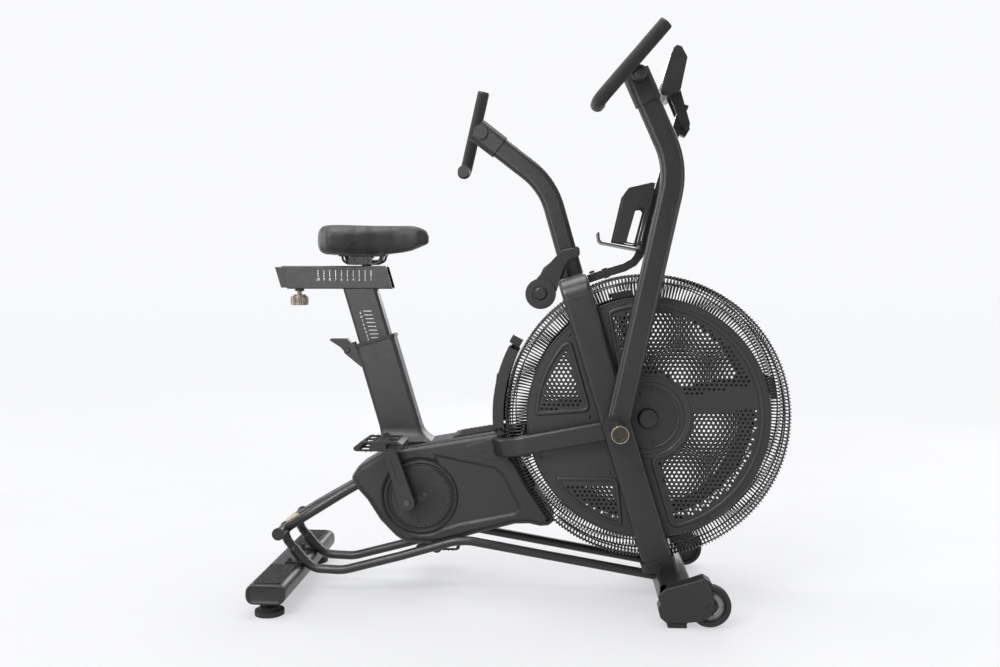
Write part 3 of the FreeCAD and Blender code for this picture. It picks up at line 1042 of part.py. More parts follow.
for g, names in GROUPS.items():
    sol = []
    for nm in names:
        sol += NODES[nm].Solids
    for nm in names:
        if nm != g:
            del NODES[nm]
    NODES[g] = Part.makeCompound(sol)

# ================================================================ export
for name, s in NODES.items():
    s.exportStep("parts/%s.step" % name)
if __name__ == "__main__":
    bb = None
    for name, s in NODES.items():
        if not s.isValid():
            print("INVALID", name)
        sol = s.Solids
        bad = [x for x in sol if x.Volume <= 0]
        b = s.BoundBox
        print("%-24s solids %2d vol %10.0f  x[%7.1f %7.1f] y[%7.1f %7.1f] z[%7.1f %7.1f]%s" % (
            name, len(sol), s.Volume, b.XMin, b.XMax, b.YMin, b.YMax, b.ZMin, b.ZMax, " BAD" if bad else ""))
        if bb is None:
            bb = FreeCAD.BoundBox(b)
        else:
            bb.add(b)
    print(len(NODES), "nodes", bb)
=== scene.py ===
import bpy
import bmesh
import math
from mathutils import Vector, Matrix
from mathutils.bvhtree import BVHTree


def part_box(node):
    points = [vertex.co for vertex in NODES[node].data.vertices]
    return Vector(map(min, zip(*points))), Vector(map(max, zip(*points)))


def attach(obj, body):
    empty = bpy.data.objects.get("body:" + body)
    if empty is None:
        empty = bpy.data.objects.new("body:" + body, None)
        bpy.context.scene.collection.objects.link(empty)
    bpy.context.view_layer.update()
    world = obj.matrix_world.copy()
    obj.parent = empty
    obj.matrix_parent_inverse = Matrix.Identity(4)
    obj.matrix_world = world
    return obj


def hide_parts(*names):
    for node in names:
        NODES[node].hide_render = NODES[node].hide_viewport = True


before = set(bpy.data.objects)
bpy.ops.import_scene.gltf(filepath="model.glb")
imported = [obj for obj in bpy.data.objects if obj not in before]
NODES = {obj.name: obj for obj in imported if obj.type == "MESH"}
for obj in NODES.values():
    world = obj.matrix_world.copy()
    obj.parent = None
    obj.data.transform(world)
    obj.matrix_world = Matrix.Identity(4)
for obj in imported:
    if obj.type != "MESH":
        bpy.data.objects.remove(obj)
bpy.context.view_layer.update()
SC = bpy.context.scene
MM = 0.001

# ---------------------------------------------------------------- camera
cam_data = bpy.data.cameras.new("camera")
cam_data.lens = 35.0
cam_data.sensor_width = 36.0
cam_data.clip_start = 0.05
cam_data.clip_end = 60.0
cam = bpy.data.objects.new("camera", cam_data)
cam.location = (0.0965, -2.527, 0.826)
cam.rotation_euler = (math.radians(86.673), 0.0, math.radians(3.702))
SC.collection.objects.link(cam)
SC.camera = cam
SC.view_settings.view_transform = "Standard"

# ---------------------------------------------------------------- studio
world = bpy.data.worlds.new("studio")
SC.world = world
world.use_nodes = True
wn = world.node_tree.nodes
bg = wn.get("Background")
bg.inputs["Color"].default_value = (0.945, 0.950, 0.965, 1.0)
bg.inputs["Strength"].default_value = 1.0
# the pale surround is seen as it is, and lights the object less, so that the dark finishes keep their depth
dim = wn.new("ShaderNodeBackground")
dim.inputs["Color"].default_value = (0.95, 0.97, 1.0, 1.0)
lp = wn.new("ShaderNodeLightPath")
mx = wn.new("ShaderNodeMixShader")
wt = world.node_tree
# a studio with pale side and back walls and a darker front: flat fronts stay deep, rounded edges catch a pale line
wtc = wn.new("ShaderNodeTexCoord")
wdot = wn.new("ShaderNodeVectorMath")
wdot.operation = "DOT_PRODUCT"
wdot.inputs[1].default_value = (-0.30, 0.92, 0.25)
wmr = wn.new("ShaderNodeMapRange")
wmr.inputs["From Min"].default_value = -0.75
wmr.inputs["From Max"].default_value = 0.25
wmr.inputs["To Min"].default_value = 0.10
wmr.inputs["To Max"].default_value = 0.62
wt.links.new(wtc.outputs["Generated"], wdot.inputs[0])
wt.links.new(wdot.outputs["Value"], wmr.inputs["Value"])
wt.links.new(wmr.outputs["Result"], dim.inputs["Strength"])
wt.links.new(lp.outputs["Is Camera Ray"], mx.inputs[0])
wt.links.new(dim.outputs[0], mx.inputs[1])
wt.links.new(bg.outputs[0], mx.inputs[2])
wt.links.new(mx.outputs[0], wn.get("World Output").inputs[0])


LAMPS = []


def area(name, loc, target, size, size_y, power, colour=(1, 1, 1)):
    LAMPS.append((Vector(loc), (Vector(target) - Vector(loc)).normalized(), power))
    la = bpy.data.lights.new(name, "AREA")
    la.shape = "RECTANGLE"
    la.size = size
    la.size_y = size_y
    la.energy = power
    la.color = colour
    ob = bpy.data.objects.new(name, la)
    ob.location = loc
    d = Vector(target) - Vector(loc)
    ob.rotation_euler = d.to_track_quat("-Z", "Y").to_euler()
    SC.collection.objects.link(ob)
    return ob


area("key", (-1.5, -2.5, 2.9), (0.0, 0.0, 0.65), 1.7, 1.5, 130)
area("fill", (3.0, -2.0, 1.3), (0.2, 0.0, 0.6), 0.8, 2.6, 26)
area("top", (0.0, 0.1, 3.2), (0.0, 0.0, 0.5), 2.6, 1.6, 80)
area("back", (1.0, 3.0, 1.9), (0.0, 0.0, 0.7), 3.0, 1.6, 75)
area("front_left", (-1.35, -4.0, 1.15), (-0.3, 0.0, 0.75), 1.9, 2.0, 44)
area("left", (-3.2, 0.6, 1.5), (0.0, 0.0, 0.6), 1.2, 2.4, 60)


# ---------------------------------------------------------------- materials
def sock(node, *names):
    for n in names:
        if n in node.inputs:
            return node.inputs[n]
    return None


class Mat:
    def __init__(self, name):
        self.m = bpy.data.materials.new(name)
        self.m.use_nodes = True
        self.t = self.m.node_tree
        self.t.nodes.clear()
        self.out = self.n("ShaderNodeOutputMaterial")
        self.b = self.n("ShaderNodeBsdfPrincipled")
        self.t.links.new(self.b.outputs[0], self.out.inputs[0])
        self.tc = self.n("ShaderNodeTexCoord")
        self.obj = self.tc.outputs["Object"]

    def n(self, kind, **kw):
        x = self.t.nodes.new(kind)
        for k, v in kw.items():
            setattr(x, k, v)
        return x

    def link(self, a, b):
        self.t.links.new(a, b)

    def noise(self, scale, detail=4.0, rough=0.55, vec=None, stretch=None):
        x = self.n("ShaderNodeTexNoise")
        x.inputs["Scale"].default_value = scale
        x.inputs["Detail"].default_value = detail
        x.inputs["Roughness"].default_value = rough
        src = vec or self.obj
        if stretch:
            mp = self.n("ShaderNodeMapping")
            mp.inputs["Scale"].default_value = stretch
            self.link(src, mp.inputs["Vector"])
            src = mp.outputs[0]
        self.link(src, x.inputs["Vector"])
        return x.outputs[0]

    def voronoi(self, scale, feature="F1", rnd=1.0, stretch=None):
        x = self.n("ShaderNodeTexVoronoi", feature=feature)
        x.inputs["Scale"].default_value = scale
        x.inputs["Randomness"].default_value = rnd
        src = self.obj
        if stretch:
            mp = self.n("ShaderNodeMapping")
            mp.inputs["Scale"].default_value = stretch
            self.link(src, mp.inputs["Vector"])
            src = mp.outputs[0]
        self.link(src, x.inputs["Vector"])
        return x.outputs["Distance"]

    def remap(self, v, a, b, c, d, smooth=False):
        x = self.n("ShaderNodeMapRange")
        if smooth:
            x.interpolation_type = "SMOOTHSTEP"
        x.inputs["From Min"].default_value = a
        x.inputs["From Max"].default_value = b
        x.inputs["To Min"].default_value = c
        x.inputs["To Max"].default_value = d
        self.link(v, x.inputs["Value"])
        return x.outputs[0]

    def mix(self, fac, a, b, mode="MIX"):
        x = self.n("ShaderNodeMix", data_type="RGBA", blend_type=mode)
        for i, v in ((0, fac), (6, a), (7, b)):
            if isinstance(v, (tuple, list)):
                x.inputs[i].default_value = (v[0], v[1], v[2], 1.0)
            elif isinstance(v, float):
                x.inputs[i].default_value = v
            else:
                self.link(v, x.inputs[i])
        return x.outputs[2]

    def math(self, op, a, b=None):
        x = self.n("ShaderNodeMath", operation=op)
        for i, v in ((0, a), (1, b)):
            if v is None:
                continue
            if isinstance(v, (int, float)):
                x.inputs[i].default_value = v
            else:
                self.link(v, x.inputs[i])
        return x.outputs[0]

    def bump(self, height, strength, dist, normal=None):
        x = self.n("ShaderNodeBump")
        x.inputs["Strength"].default_value = strength
        x.inputs["Distance"].default_value = dist
        self.link(height, x.inputs["Height"])
        if normal is not None:
            self.link(normal, x.inputs["Normal"])
        return x.outputs[0]


def scaled(c, k):
    return tuple(min(1.0, v * k) for v in c)


def hard(name, col, rough, metallic=0.0, spec=0.5, grain=900.0, bump=0.16, dist=0.00025,
         mottle=7.0, vary=0.16, edge=0.0012, wear=0.35, wear_col=None, rvar=0.07,
         brushed=None, coat=0.0, coat_rough=0.25, speck=0.0):
    """Painted, moulded or bare metal and plastic surfaces."""
    k = Mat(name)
    b = k.b
    b.inputs["Metallic"].default_value = metallic
    b.inputs["Specular IOR Level"].default_value = spec
    if coat:
        b.inputs["Coat Weight"].default_value = coat
        b.inputs["Coat Roughness"].default_value = coat_rough
    big = k.noise(mottle, 5.0)
    fine = k.noise(grain, 3.0, 0.6)
    mid = k.noise(mottle * 11.0, 4.0)
    c = k.mix(k.remap(big, 0.3, 0.7, 0.0, 1.0), scaled(col, 1.0 - vary), scaled(col, 1.0 + vary))
    c = k.mix(k.remap(fine, 0.35, 0.75, 0.0, 0.30), c, scaled(col, 1.45))
    if speck:
        sp = k.voronoi(grain * 0.55)
        c = k.mix(k.remap(sp, 0.0, 0.16, speck, 0.0), c, scaled(col, 2.6))
    bev = k.n("ShaderNodeBevel", samples=4)
    bev.inputs["Radius"].default_value = edge
    if wear > 0:
        geo = k.n("ShaderNodeNewGeometry")
        bw = k.n("ShaderNodeBevel", samples=4)
        bw.inputs["Radius"].default_value = edge * 1.3
        dot = k.n("ShaderNodeVectorMath", operation="DOT_PRODUCT")
        k.link(bw.outputs[0], dot.inputs[0])
        k.link(geo.outputs["Normal"], dot.inputs[1])
        e = k.remap(dot.outputs["Value"], 0.995, 0.86, 0.0, wear)
        e = k.math("MULTIPLY", e, k.remap(k.noise(60.0, 6.0, 0.7), 0.38, 0.62, 0.15, 1.0))
        c = k.mix(e, c, wear_col or scaled(col, 3.2))
    k.link(c, b.inputs["Base Color"])
    r = k.remap(mid, 0.25, 0.75, rough - rvar, rough + rvar)
    if brushed:
        br = k.noise(240.0, 5.0, 0.65, stretch=brushed)
        r = k.math("ADD", r, k.remap(br, 0.3, 0.7, -0.08, 0.08))
        nrm = k.bump(br, bump, dist, bev.outputs[0])
    else:
        nrm = k.bump(fine, bump, dist, bev.outputs[0])
    k.link(r, b.inputs["Roughness"])
    k.link(nrm, b.inputs["Normal"])
    return k.m


def rubber(name, col, rough=0.62, scale=420.0, bump=0.35, dist=0.0004, spec=0.35, dust=0.25):
    k = Mat(name)
    b = k.b
    b.inputs["Specular IOR Level"].default_value = spec
    big = k.noise(14.0, 5.0)
    v = k.voronoi(scale)
    fine = k.noise(scale * 3.0, 3.0)
    c = k.mix(k.remap(big, 0.35, 0.7, 0.0, 1.0), scaled(col, 0.8), scaled(col, 1.25))
    c = k.mix(k.remap(k.noise(38.0, 7.0, 0.7), 0.52, 0.78, 0.0, dust), c, scaled(col, 2.4))
    k.link(c, b.inputs["Base Color"])
    k.link(k.remap(big, 0.3, 0.7, rough - 0.06, rough + 0.08), b.inputs["Roughness"])
    bev = k.n("ShaderNodeBevel", samples=4)
    bev.inputs["Radius"].default_value = 0.0012
    h = k.math("ADD", v, k.math("MULTIPLY", fine, 0.5))
    k.link(k.bump(h, bump, dist, bev.outputs[0]), b.inputs["Normal"])
    return k.m


def leather(name, col):
    k = Mat(name)
    b = k.b
    b.inputs["Specular IOR Level"].default_value = 0.42
    b.inputs["Sheen Weight"].default_value = 0.12
    b.inputs["Sheen Roughness"].default_value = 0.45
    cell = k.voronoi(520.0, "DISTANCE_TO_EDGE")
    wr = k.noise(70.0, 6.0, 0.62)
    big = k.noise(12.0, 4.0)
    c = k.mix(k.remap(big, 0.3, 0.7, 0.0, 1.0), scaled(col, 0.82), scaled(col, 1.2))
    # painted shade: the grain's creases along the cell edges, which the bump below sinks, are darkened in the colour
    c = k.mix(k.remap(cell, 0.0, 0.10, 0.45, 0.0), c, scaled(col, 0.45))
    k.link(c, b.inputs["Base Color"])
    k.link(k.remap(wr, 0.3, 0.7, 0.40, 0.56), b.inputs["Roughness"])
    h = k.math("ADD", k.remap(cell, 0.0, 0.16, 0.0, 1.0, True), k.math("MULTIPLY", wr, 0.9))
    k.link(k.bump(h, 0.28, 0.00035), b.inputs["Normal"])
    return k.m


def foam(name, col):
    k = Mat(name)
    b = k.b
    b.inputs["Specular IOR Level"].default_value = 0.2
    b.inputs["Sheen Weight"].default_value = 0.10
    b.inputs["Sheen Roughness"].default_value = 0.6
    pits = k.voronoi(900.0)
    big = k.noise(22.0, 5.0)
    c = k.mix(k.remap(big, 0.3, 0.7, 0.0, 1.0), scaled(col, 0.8), scaled(col, 1.25))
    # painted shade: the foam's pores, which the bump below sinks, are darkened in the colour
    c = k.mix(k.remap(pits, 0.0, 0.35, 0.6, 0.0), c, scaled(col, 0.35))
    k.link(c, b.inputs["Base Color"])
    k.link(k.remap(pits, 0.0, 0.6, 0.92, 0.74), b.inputs["Roughness"])
    h = k.math("ADD", k.remap(pits, 0.0, 0.5, 0.0, 1.0), k.math("MULTIPLY", k.noise(300.0, 4.0), 0.8))
    k.link(k.bump(h, 0.30, 0.0003), b.inputs["Normal"])
    return k.m


def glass_screen(name):
    k = Mat(name)
    b = k.b
    b.inputs["Specular IOR Level"].default_value = 0.6
    b.inputs["Coat Weight"].default_value = 0.6
    b.inputs["Coat Roughness"].default_value = 0.05
    gx = k.n("ShaderNodeTexWave", wave_type="BANDS", bands_direction="X")
    gx.inputs["Scale"].default_value = 160.0
    k.link(k.obj, gx.inputs["Vector"])
    big = k.noise(10.0, 4.0)
    c = k.mix(k.remap(big, 0.3, 0.7, 0.0, 1.0), (0.006, 0.008, 0.009), (0.013, 0.016, 0.017))
    c = k.mix(k.remap(gx.outputs[0], 0.85, 1.0, 0.0, 0.25), c, (0.03, 0.035, 0.036))
    k.link(c, b.inputs["Base Color"])
    k.link(k.remap(k.noise(45.0, 6.0), 0.3, 0.7, 0.10, 0.22), b.inputs["Roughness"])
    return k.m


BLK = (0.0215, 0.0215, 0.0225)
MATS = {
    "frame_black": hard("frame_black", (0.0125, 0.0125, 0.0130), 0.34, spec=0.45, grain=1100.0, bump=0.22, wear=0.30),
    "bracket_black": hard("bracket_black", (0.0110, 0.0110, 0.0116), 0.36, spec=0.45, grain=1000.0, bump=0.24, wear=0.35),
    "plate_black": hard("plate_black", (0.0165, 0.0165, 0.0172), 0.44, spec=0.42, grain=850.0, bump=0.28, wear=0.20, edge=0.0007),
    "wire_black": hard("wire_black", (0.0070, 0.0070, 0.0074), 0.34, spec=0.5, grain=1500.0, bump=0.1, wear=0.0, edge=0.0005),
    "crank_black": hard("crank_black", (0.0125, 0.0125, 0.0130), 0.33, spec=0.5, grain=1300.0, bump=0.05, wear=0.12, rvar=0.04),
    "carry_metal": hard("carry_metal", (0.045, 0.044, 0.042), 0.34, metallic=0.5, grain=700.0, bump=0.12, brushed=(1.0, 12.0, 1.0)),
    "shroud_plastic": hard("shroud_plastic", (0.0150, 0.0150, 0.0156), 0.40, spec=0.42, grain=620.0, bump=0.32, dist=0.0004, wear=0.10, edge=0.0018),
    "plastic_black": hard("plastic_black", (0.0105, 0.0105, 0.0110), 0.40, spec=0.45, grain=760.0, bump=0.28, dist=0.0003, wear=0.14, edge=0.0014),
    "nylon_black": hard("nylon_black", (0.0100, 0.0100, 0.0104), 0.46, spec=0.4, grain=520.0, bump=0.30, dist=0.0003, wear=0.10),
    "pedal_plastic": hard("pedal_plastic", (0.0100, 0.0100, 0.0104), 0.44, spec=0.4, grain=560.0, bump=0.38, dist=0.0004, wear=0.35),
    "grip_rubber": rubber("grip_rubber", (0.0105, 0.0105, 0.011), 0.56, 380.0),
    "bar_grip": rubber("bar_grip", (0.30, 0.245, 0.17), 0.60, 380.0),
    "rubber": rubber("rubber", (0.014, 0.014, 0.015), 0.66, 420.0),
    "belt_rubber": rubber("belt_rubber", (0.010, 0.010, 0.011), 0.58, 700.0),
    "wheel_rubber": rubber("wheel_rubber", (0.015, 0.015, 0.016), 0.55, 520.0, 0.25),
    "foam": foam("foam", (0.0095, 0.0095, 0.0100)),
    "saddle_skin": leather("saddle_skin", (0.0090, 0.0090, 0.0094)),
    "peg_grey": hard("peg_grey", (0.052, 0.047, 0.040), 0.36, metallic=0.75, grain=900.0, bump=0.15, brushed=(1.0, 14.0, 1.0)),
    "brass_ring": hard("brass_ring", (0.36, 0.31, 0.215), 0.30, metallic=0.9, grain=900.0, bump=0.1, wear=0.3, wear_col=(0.8, 0.7, 0.45)),
    "knob_metal": hard("knob_metal", (0.20, 0.175, 0.135), 0.36, metallic=0.85, grain=900.0, bump=0.12, wear=0.3, wear_col=(0.6, 0.55, 0.45)),
    "bolt_black": hard("bolt_black", (0.022, 0.022, 0.023), 0.34, metallic=0.4, grain=1400.0, bump=0.12, wear=0.5, edge=0.0006),
    "steel": hard("steel", (0.085, 0.085, 0.088), 0.28, metallic=0.95, grain=900.0, bump=0.1, brushed=(1.0, 10.0, 1.0), wear=0.15),
    "alloy": hard("alloy", (0.46, 0.46, 0.47), 0.36, metallic=0.9, grain=900.0, bump=0.12, brushed=(8.0, 1.0, 8.0), wear=0.15),
    "steel_grey": hard("steel_grey", (0.16, 0.16, 0.165), 0.32, metallic=0.6, grain=900.0, bump=0.12, wear=0.15),
    "screen": glass_screen("screen"),
    "button_grey": hard("button_grey", (0.12, 0.12, 0.125), 0.48, spec=0.4, grain=700.0, bump=0.2, wear=0.1),
    "mark_white": hard("mark_white", (0.62, 0.62, 0.60), 0.55, spec=0.35, grain=1800.0, bump=0.12, wear=0.0, vary=0.08, edge=0.0002),
    "stitch": hard("stitch", (0.030, 0.030, 0.031), 0.62, spec=0.3, grain=2200.0, bump=0.4, wear=0.0, edge=0.0003),
}
for nm, ob in NODES.items():
    for sl in ob.material_slots:
        key = sl.material.name.split(".")[0] if sl.material else None
        if key in MATS:
            pass
# the frame's own materials carry the slot names: swap each for its finished one
SLOT_OF = {}
for nm, ob in NODES.items():
    old = ob.data.materials[0]
    key = old.name.split(".")[0] if old else "frame_black"
    SLOT_OF[nm] = key
for nm, ob in NODES.items():
    ob.data.materials[0] = MATS[SLOT_OF[nm]]


# ---------------------------------------------------------------- mesh helpers
def build(name, V, F, slot, body, smooth=True, replaces=(), mat=None, fix=True):
    me = bpy.data.meshes.new(name)
    me.from_pydata([tuple(c * MM for c in v) for v in V], [], F)
    bm = bmesh.new()
    bm.from_mesh(me)
    if fix:
        bmesh.ops.recalc_face_normals(bm, faces=bm.faces)
    bm.to_mesh(me)
    bm.free()
    for p in me.polygons:
        p.use_smooth = smooth
    ob = bpy.data.objects.new(name, me)
    SC.collection.objects.link(ob)
    ob.data.materials.append(MATS[mat or slot])
    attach(ob, body)
    if replaces:
        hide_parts(*replaces)
    return ob


def sharp(ob, deg=35.0):
    me = ob.data
    bm = bmesh.new()
    bm.from_mesh(me)
    lim = math.radians(deg)
    for e in bm.edges:
        if len(e.link_faces) == 2 and e.calc_face_angle(0.0) > lim:
            e.smooth = False
    bm.to_mesh(me)
    bm.free()
    return ob


def tube_geo(V, F, path, side, ra, rb=None, seg=8, closed=False, taper=None):
    """A tube on a flat path. side is the path's plane normal; ra is the half size along it, rb across."""
    rb = ra if rb is None else rb
    n = len(path)
    side = Vector(side).normalized()
    P = [Vector(p) for p in path]
    base = len(V)
    for i in range(n):
        if closed:
            t = P[(i + 1) % n] - P[i - 1]
        else:
            t = P[min(i + 1, n - 1)] - P[max(i - 1, 0)]
        t.normalize()
        nn = t.cross(side)
        nn.normalize()
        k = 1.0
        if not closed and 0 < i < n - 1:
            a = (P[i] - P[i - 1]).normalized()
            c = (P[i + 1] - P[i]).normalized()
            d = max(-1.0, min(1.0, a.dot(c)))
            k = 1.0 / max(0.6, math.cos(math.acos(d) / 2))
        s = taper[i] if taper else 1.0
        for j in range(seg):
            a = math.tau * j / seg
            V.append(tuple(P[i] + side * (ra * s * math.cos(a)) + nn * (rb * s * k * math.sin(a))))
    m = n if closed else n - 1
    for i in range(m):
        i2 = (i + 1) % n
        for j in range(seg):
            j2 = (j + 1) % seg
            F.append((base + i * seg + j, base + i * seg + j2, base + i2 * seg + j2, base + i2 * seg + j))
    if not closed:
        F.append(tuple(base + j for j in range(seg)))
        F.append(tuple(base + (n - 1) * seg + j for j in range(seg)))


def fillet(pts, r, closed=True, n=5):
    """Rounds the corners of a flat polygon given in two numbers a point."""
    out = []
    N = len(pts)
    for i in range(N):
        p = Vector(pts[i])
        if not closed and i in (0, N - 1):
            out.append(tuple(p))
            continue
        a = Vector(pts[i - 1])
        b = Vector(pts[(i + 1) % N])
        rr = r[i] if isinstance(r, (list, tuple)) else r
        ua = (a - p)
        ub = (b - p)
        la, lb = ua.length, ub.length
        ua.normalize()
        ub.normalize()
        ang = math.acos(max(-1, min(1, ua.dot(ub))))
        if rr <= 0 or ang > math.radians(176):
            out.append(tuple(p))
            continue
        d = min(rr / math.tan(ang / 2), la * 0.48, lb * 0.48)
        s = p + ua * d
        e = p + ub * d
        for k in range(n + 1):
            t = k / n
            q = s * (1 - t) ** 2 + p * (2 * t * (1 - t)) + e * t * t
            out.append(tuple(q))
    return out


def fill_loops(loops, y0, y1):
    """A flat plate with holes: closed loops in x, z, between y0 and y1. Returns vertices and faces in mm."""
    cu = bpy.data.curves.new("tmp", "CURVE")
    cu.dimensions = "2D"
    cu.fill_mode = "BOTH"
    cu.extrude = abs(y1 - y0) / 2 * MM
    for lp in loops:
        s = cu.splines.new("POLY")
        s.points.add(len(lp) - 1)
        for p, q in zip(s.points, lp):
            p.co = (q[0] * MM, q[1] * MM, 0.0, 1.0)
        s.use_cyclic_u = True
    ob = bpy.data.objects.new("tmp", cu)
    SC.collection.objects.link(ob)
    dg = bpy.context.evaluated_depsgraph_get()
    me = bpy.data.meshes.new_from_object(ob.evaluated_get(dg))
    ym = (y0 + y1) / 2
    bm = bmesh.new()
    bm.from_mesh(me)
    bmesh.ops.remove_doubles(bm, verts=bm.verts, dist=1e-6)
    V = [(v.co.x / MM, ym + v.co.z / MM, v.co.y / MM) for v in bm.verts]
    for i, v in enumerate(bm.verts):
        v.index = i
    F = [tuple(v.index for v in f.verts) for f in bm.faces]
    bm.free()
    bpy.data.objects.remove(ob)
    bpy.data.curves.remove(cu)
    bpy.data.meshes.remove(me)
    return V, F


def prism_geo(V, F, poly, y0, y1):
    b0 = len(V)
    n = len(poly)
    for y in (y0, y1):
        V.extend((x, y, z) for x, z in poly)
    F.append(tuple(b0 + i for i in range(n)))
    F.append(tuple(b0 + n + i for i in reversed(range(n))))
    for i in range(n):
        i2 = (i + 1) % n
        F.append((b0 + i, b0 + n + i, b0 + n + i2, b0 + i2))


def add_geo(V, F, V2, F2):
    o = len(V)
    V.extend(V2)
    F.extend(tuple(i + o for i in f) for f in F2)


def in_poly(x, z, poly):
    r = False
    j = len(poly) - 1
    for i in range(len(poly)):
        xi, zi = poly[i]
        xj, zj = poly[j]
        if (zi > z) != (zj > z) and x < (xj - xi) * (z - zi) / (zj - zi) + xi:
            r = not r
        j = i
    return r


def poly_dist(x, z, poly):
    d = 1e9
    for i in range(len(poly)):
        ax, az = poly[i - 1]
        bx, bz = poly[i]
        ex, ez = bx - ax, bz - az
        t = max(0, min(1, ((x - ax) * ex + (z - az) * ez) / max(1e-9, ex * ex + ez * ez)))
        d = min(d, math.hypot(x - ax - ex * t, z - az - ez * t))
    return d


FX, FZ = 309.0, 475.0
SHROUD = [(-362, 379), (-434, 334), (-453, 305), (-436, 275), (-410, 246), (-376, 193), (-336, 152), (-311, 136), (-218, 133),
          (-128, 161), (-25, 189), (12, 190), (40, 184), (62, 186), (78, 200), (57, 229), (13, 301), (-17, 355), (-32, 368),
          (-54, 404), (-57, 433), (-160, 415), (-224, 404)]

# ---------------------------------------------------------------- cage wires
V, F = [], []
NW = 252
half = [(297.5, -98.2), (318.0, -98.2), (331.0, -98.0), (337.5, -95.6), (343.5, -90.0), (352.0, -81.0), (356.6, -75.5), (358.2, -69.0)]
for i in range(NW):
    a = math.tau * (i + 0.5) / NW
    ca, sa = math.cos(a), math.sin(a)
    side = (-sa, 0.0, ca)
    px, pz = FX + 360 * ca, FZ + 360 * sa
    cut = in_poly(px, pz, SHROUD) or poly_dist(px, pz, SHROUD) < 5.0 or in_poly(FX + 350 * ca, FZ + 350 * sa, SHROUD)
    if cut:
        for s in (1, -1):
            pr = half + [(358.2, -57.6)]
            tube_geo(V, F, [(FX + r * ca, y * s, FZ + r * sa) for r, y in pr], side, 1.75, seg=6)
    else:
        pr = half + [(358.2, -23.0), (358.2, 23.0)] + [(r, -y) for r, y in reversed(half)]
        tube_geo(V, F, [(FX + r * ca, y, FZ + r * sa) for r, y in pr], side, 1.75, seg=6)


def ring(V, F, r, y, rad, cut=False, seg=8, n=180, cx=FX, cz=FZ, rb=None):
    if not cut:
        tube_geo(V, F, [(cx + r * math.cos(math.tau * k / n), y, cz + r * math.sin(math.tau * k / n)) for k in range(n)], (0, 1, 0), rad, rb, seg, True)
        return
    run = []
    pts = []
    for k in range(2 * n):
        a = math.tau * k / n
        x, z = cx + r * math.cos(a), cz + r * math.sin(a)
        pts.append(None if (in_poly(x, z, SHROUD) or poly_dist(x, z, SHROUD) < 5.0) else (x, y, z))
    s = next(k for k in range(n) if pts[k] is None)
    for k in range(s, s + n + 1):
        if pts[k] is None:
            if len(run) > 2:
                tube_geo(V, F, run, (0, 1, 0), rad, rb, seg)
            run = []
        else:
            run.append(pts[k])


for s in (1, -1):
    ring(V, F, 338.4, -89.5 * s, 1.7)
    ring(V, F, 354.2, -70.0 * s, 2.0)
    ring(V, F, 299.5, -98.4 * s, 1.5)
ring(V, F, 354.4, 0.0, 2.0, cut=True)
build("cage_wires", V, F, "wire_black", "frame", replaces=("cage_guards",))

# ---------------------------------------------------------------- perforated side plates
R_IN, R_OUT = 103.0, 281.0


def right_of(p, a, b):
    """Distance of p to the right of the line from a to b."""
    ex, ez = b[0] - a[0], b[1] - a[1]
    return ((p[0] - a[0]) * ez - (p[1] - a[1]) * ex) / math.hypot(ex, ez)


A_L = ((-69, 113), (-101, 251))
SP_U = ((261, 81), (102, 50))
SP_L = ((113, 16), (267, 32))
B_L = ((60, -268), (11, -104))
C_P = [(-194, 187), (-146, 19), (-275, -3)]
D_P = [(-225, -155), (-77, -155), (-51, -275)]


def window(x, z, m):
    r = math.hypot(x, z)
    if r > R_OUT - m:
        return False
    if r > R_IN + m - 4:
        if right_of((x, z), *A_L) > m and right_of((x, z), *SP_U) > 5:
            return True
        if right_of((x, z), *SP_L) > 5 and right_of((x, z), *B_L) > m:
            return True
    for P3 in (C_P, D_P):
        a, b, c = P3
        if right_of((x, z), a, b) > m and right_of((x, z), b, c) > m:
            if P3 is C_P and x < b[0] and z > c[1]:
                return True
            if P3 is D_P and z < a[1]:
                return True
    return False


PITCH = 12.0
HOLES = []
for j in range(-30, 31):
    for i in range(-30, 31):
        x = i * PITCH + (j % 2) * PITCH / 2
        z = j * PITCH * math.sqrt(3) / 2
        if window(x, z, 14.0):
            HOLES.append((x, z))


def circ(cx, cz, r, n, ph=0.0):
    return [(cx + r * math.cos(math.tau * k / n + ph), cz + r * math.sin(math.tau * k / n + ph)) for k in range(n)]


def arc(r, a0, a1, n):
    return [(r * math.cos(a0 + (a1 - a0) * k / n), r * math.sin(a0 + (a1 - a0) * k / n)) for k in range(n + 1)]


loops = [circ(FX, FZ, 303.0, 200), circ(FX, FZ, 14.3, 40)]
for hx, hz in HOLES:
    loops.append(circ(FX + hx, FZ + hz, 3.75, 10, 0.3))
V1, F1 = fill_loops(loops, -103.0, -100.0)
V, F = [], []
add_geo(V, F, V1, F1)
add_geo(V, F, [(x, -y, z) for x, y, z in V1], [tuple(reversed(f)) for f in F1])
plates = build("side_plate_skin", V, F, "plate_black", "frame", smooth=False, replaces=("side_plates",), fix=False)

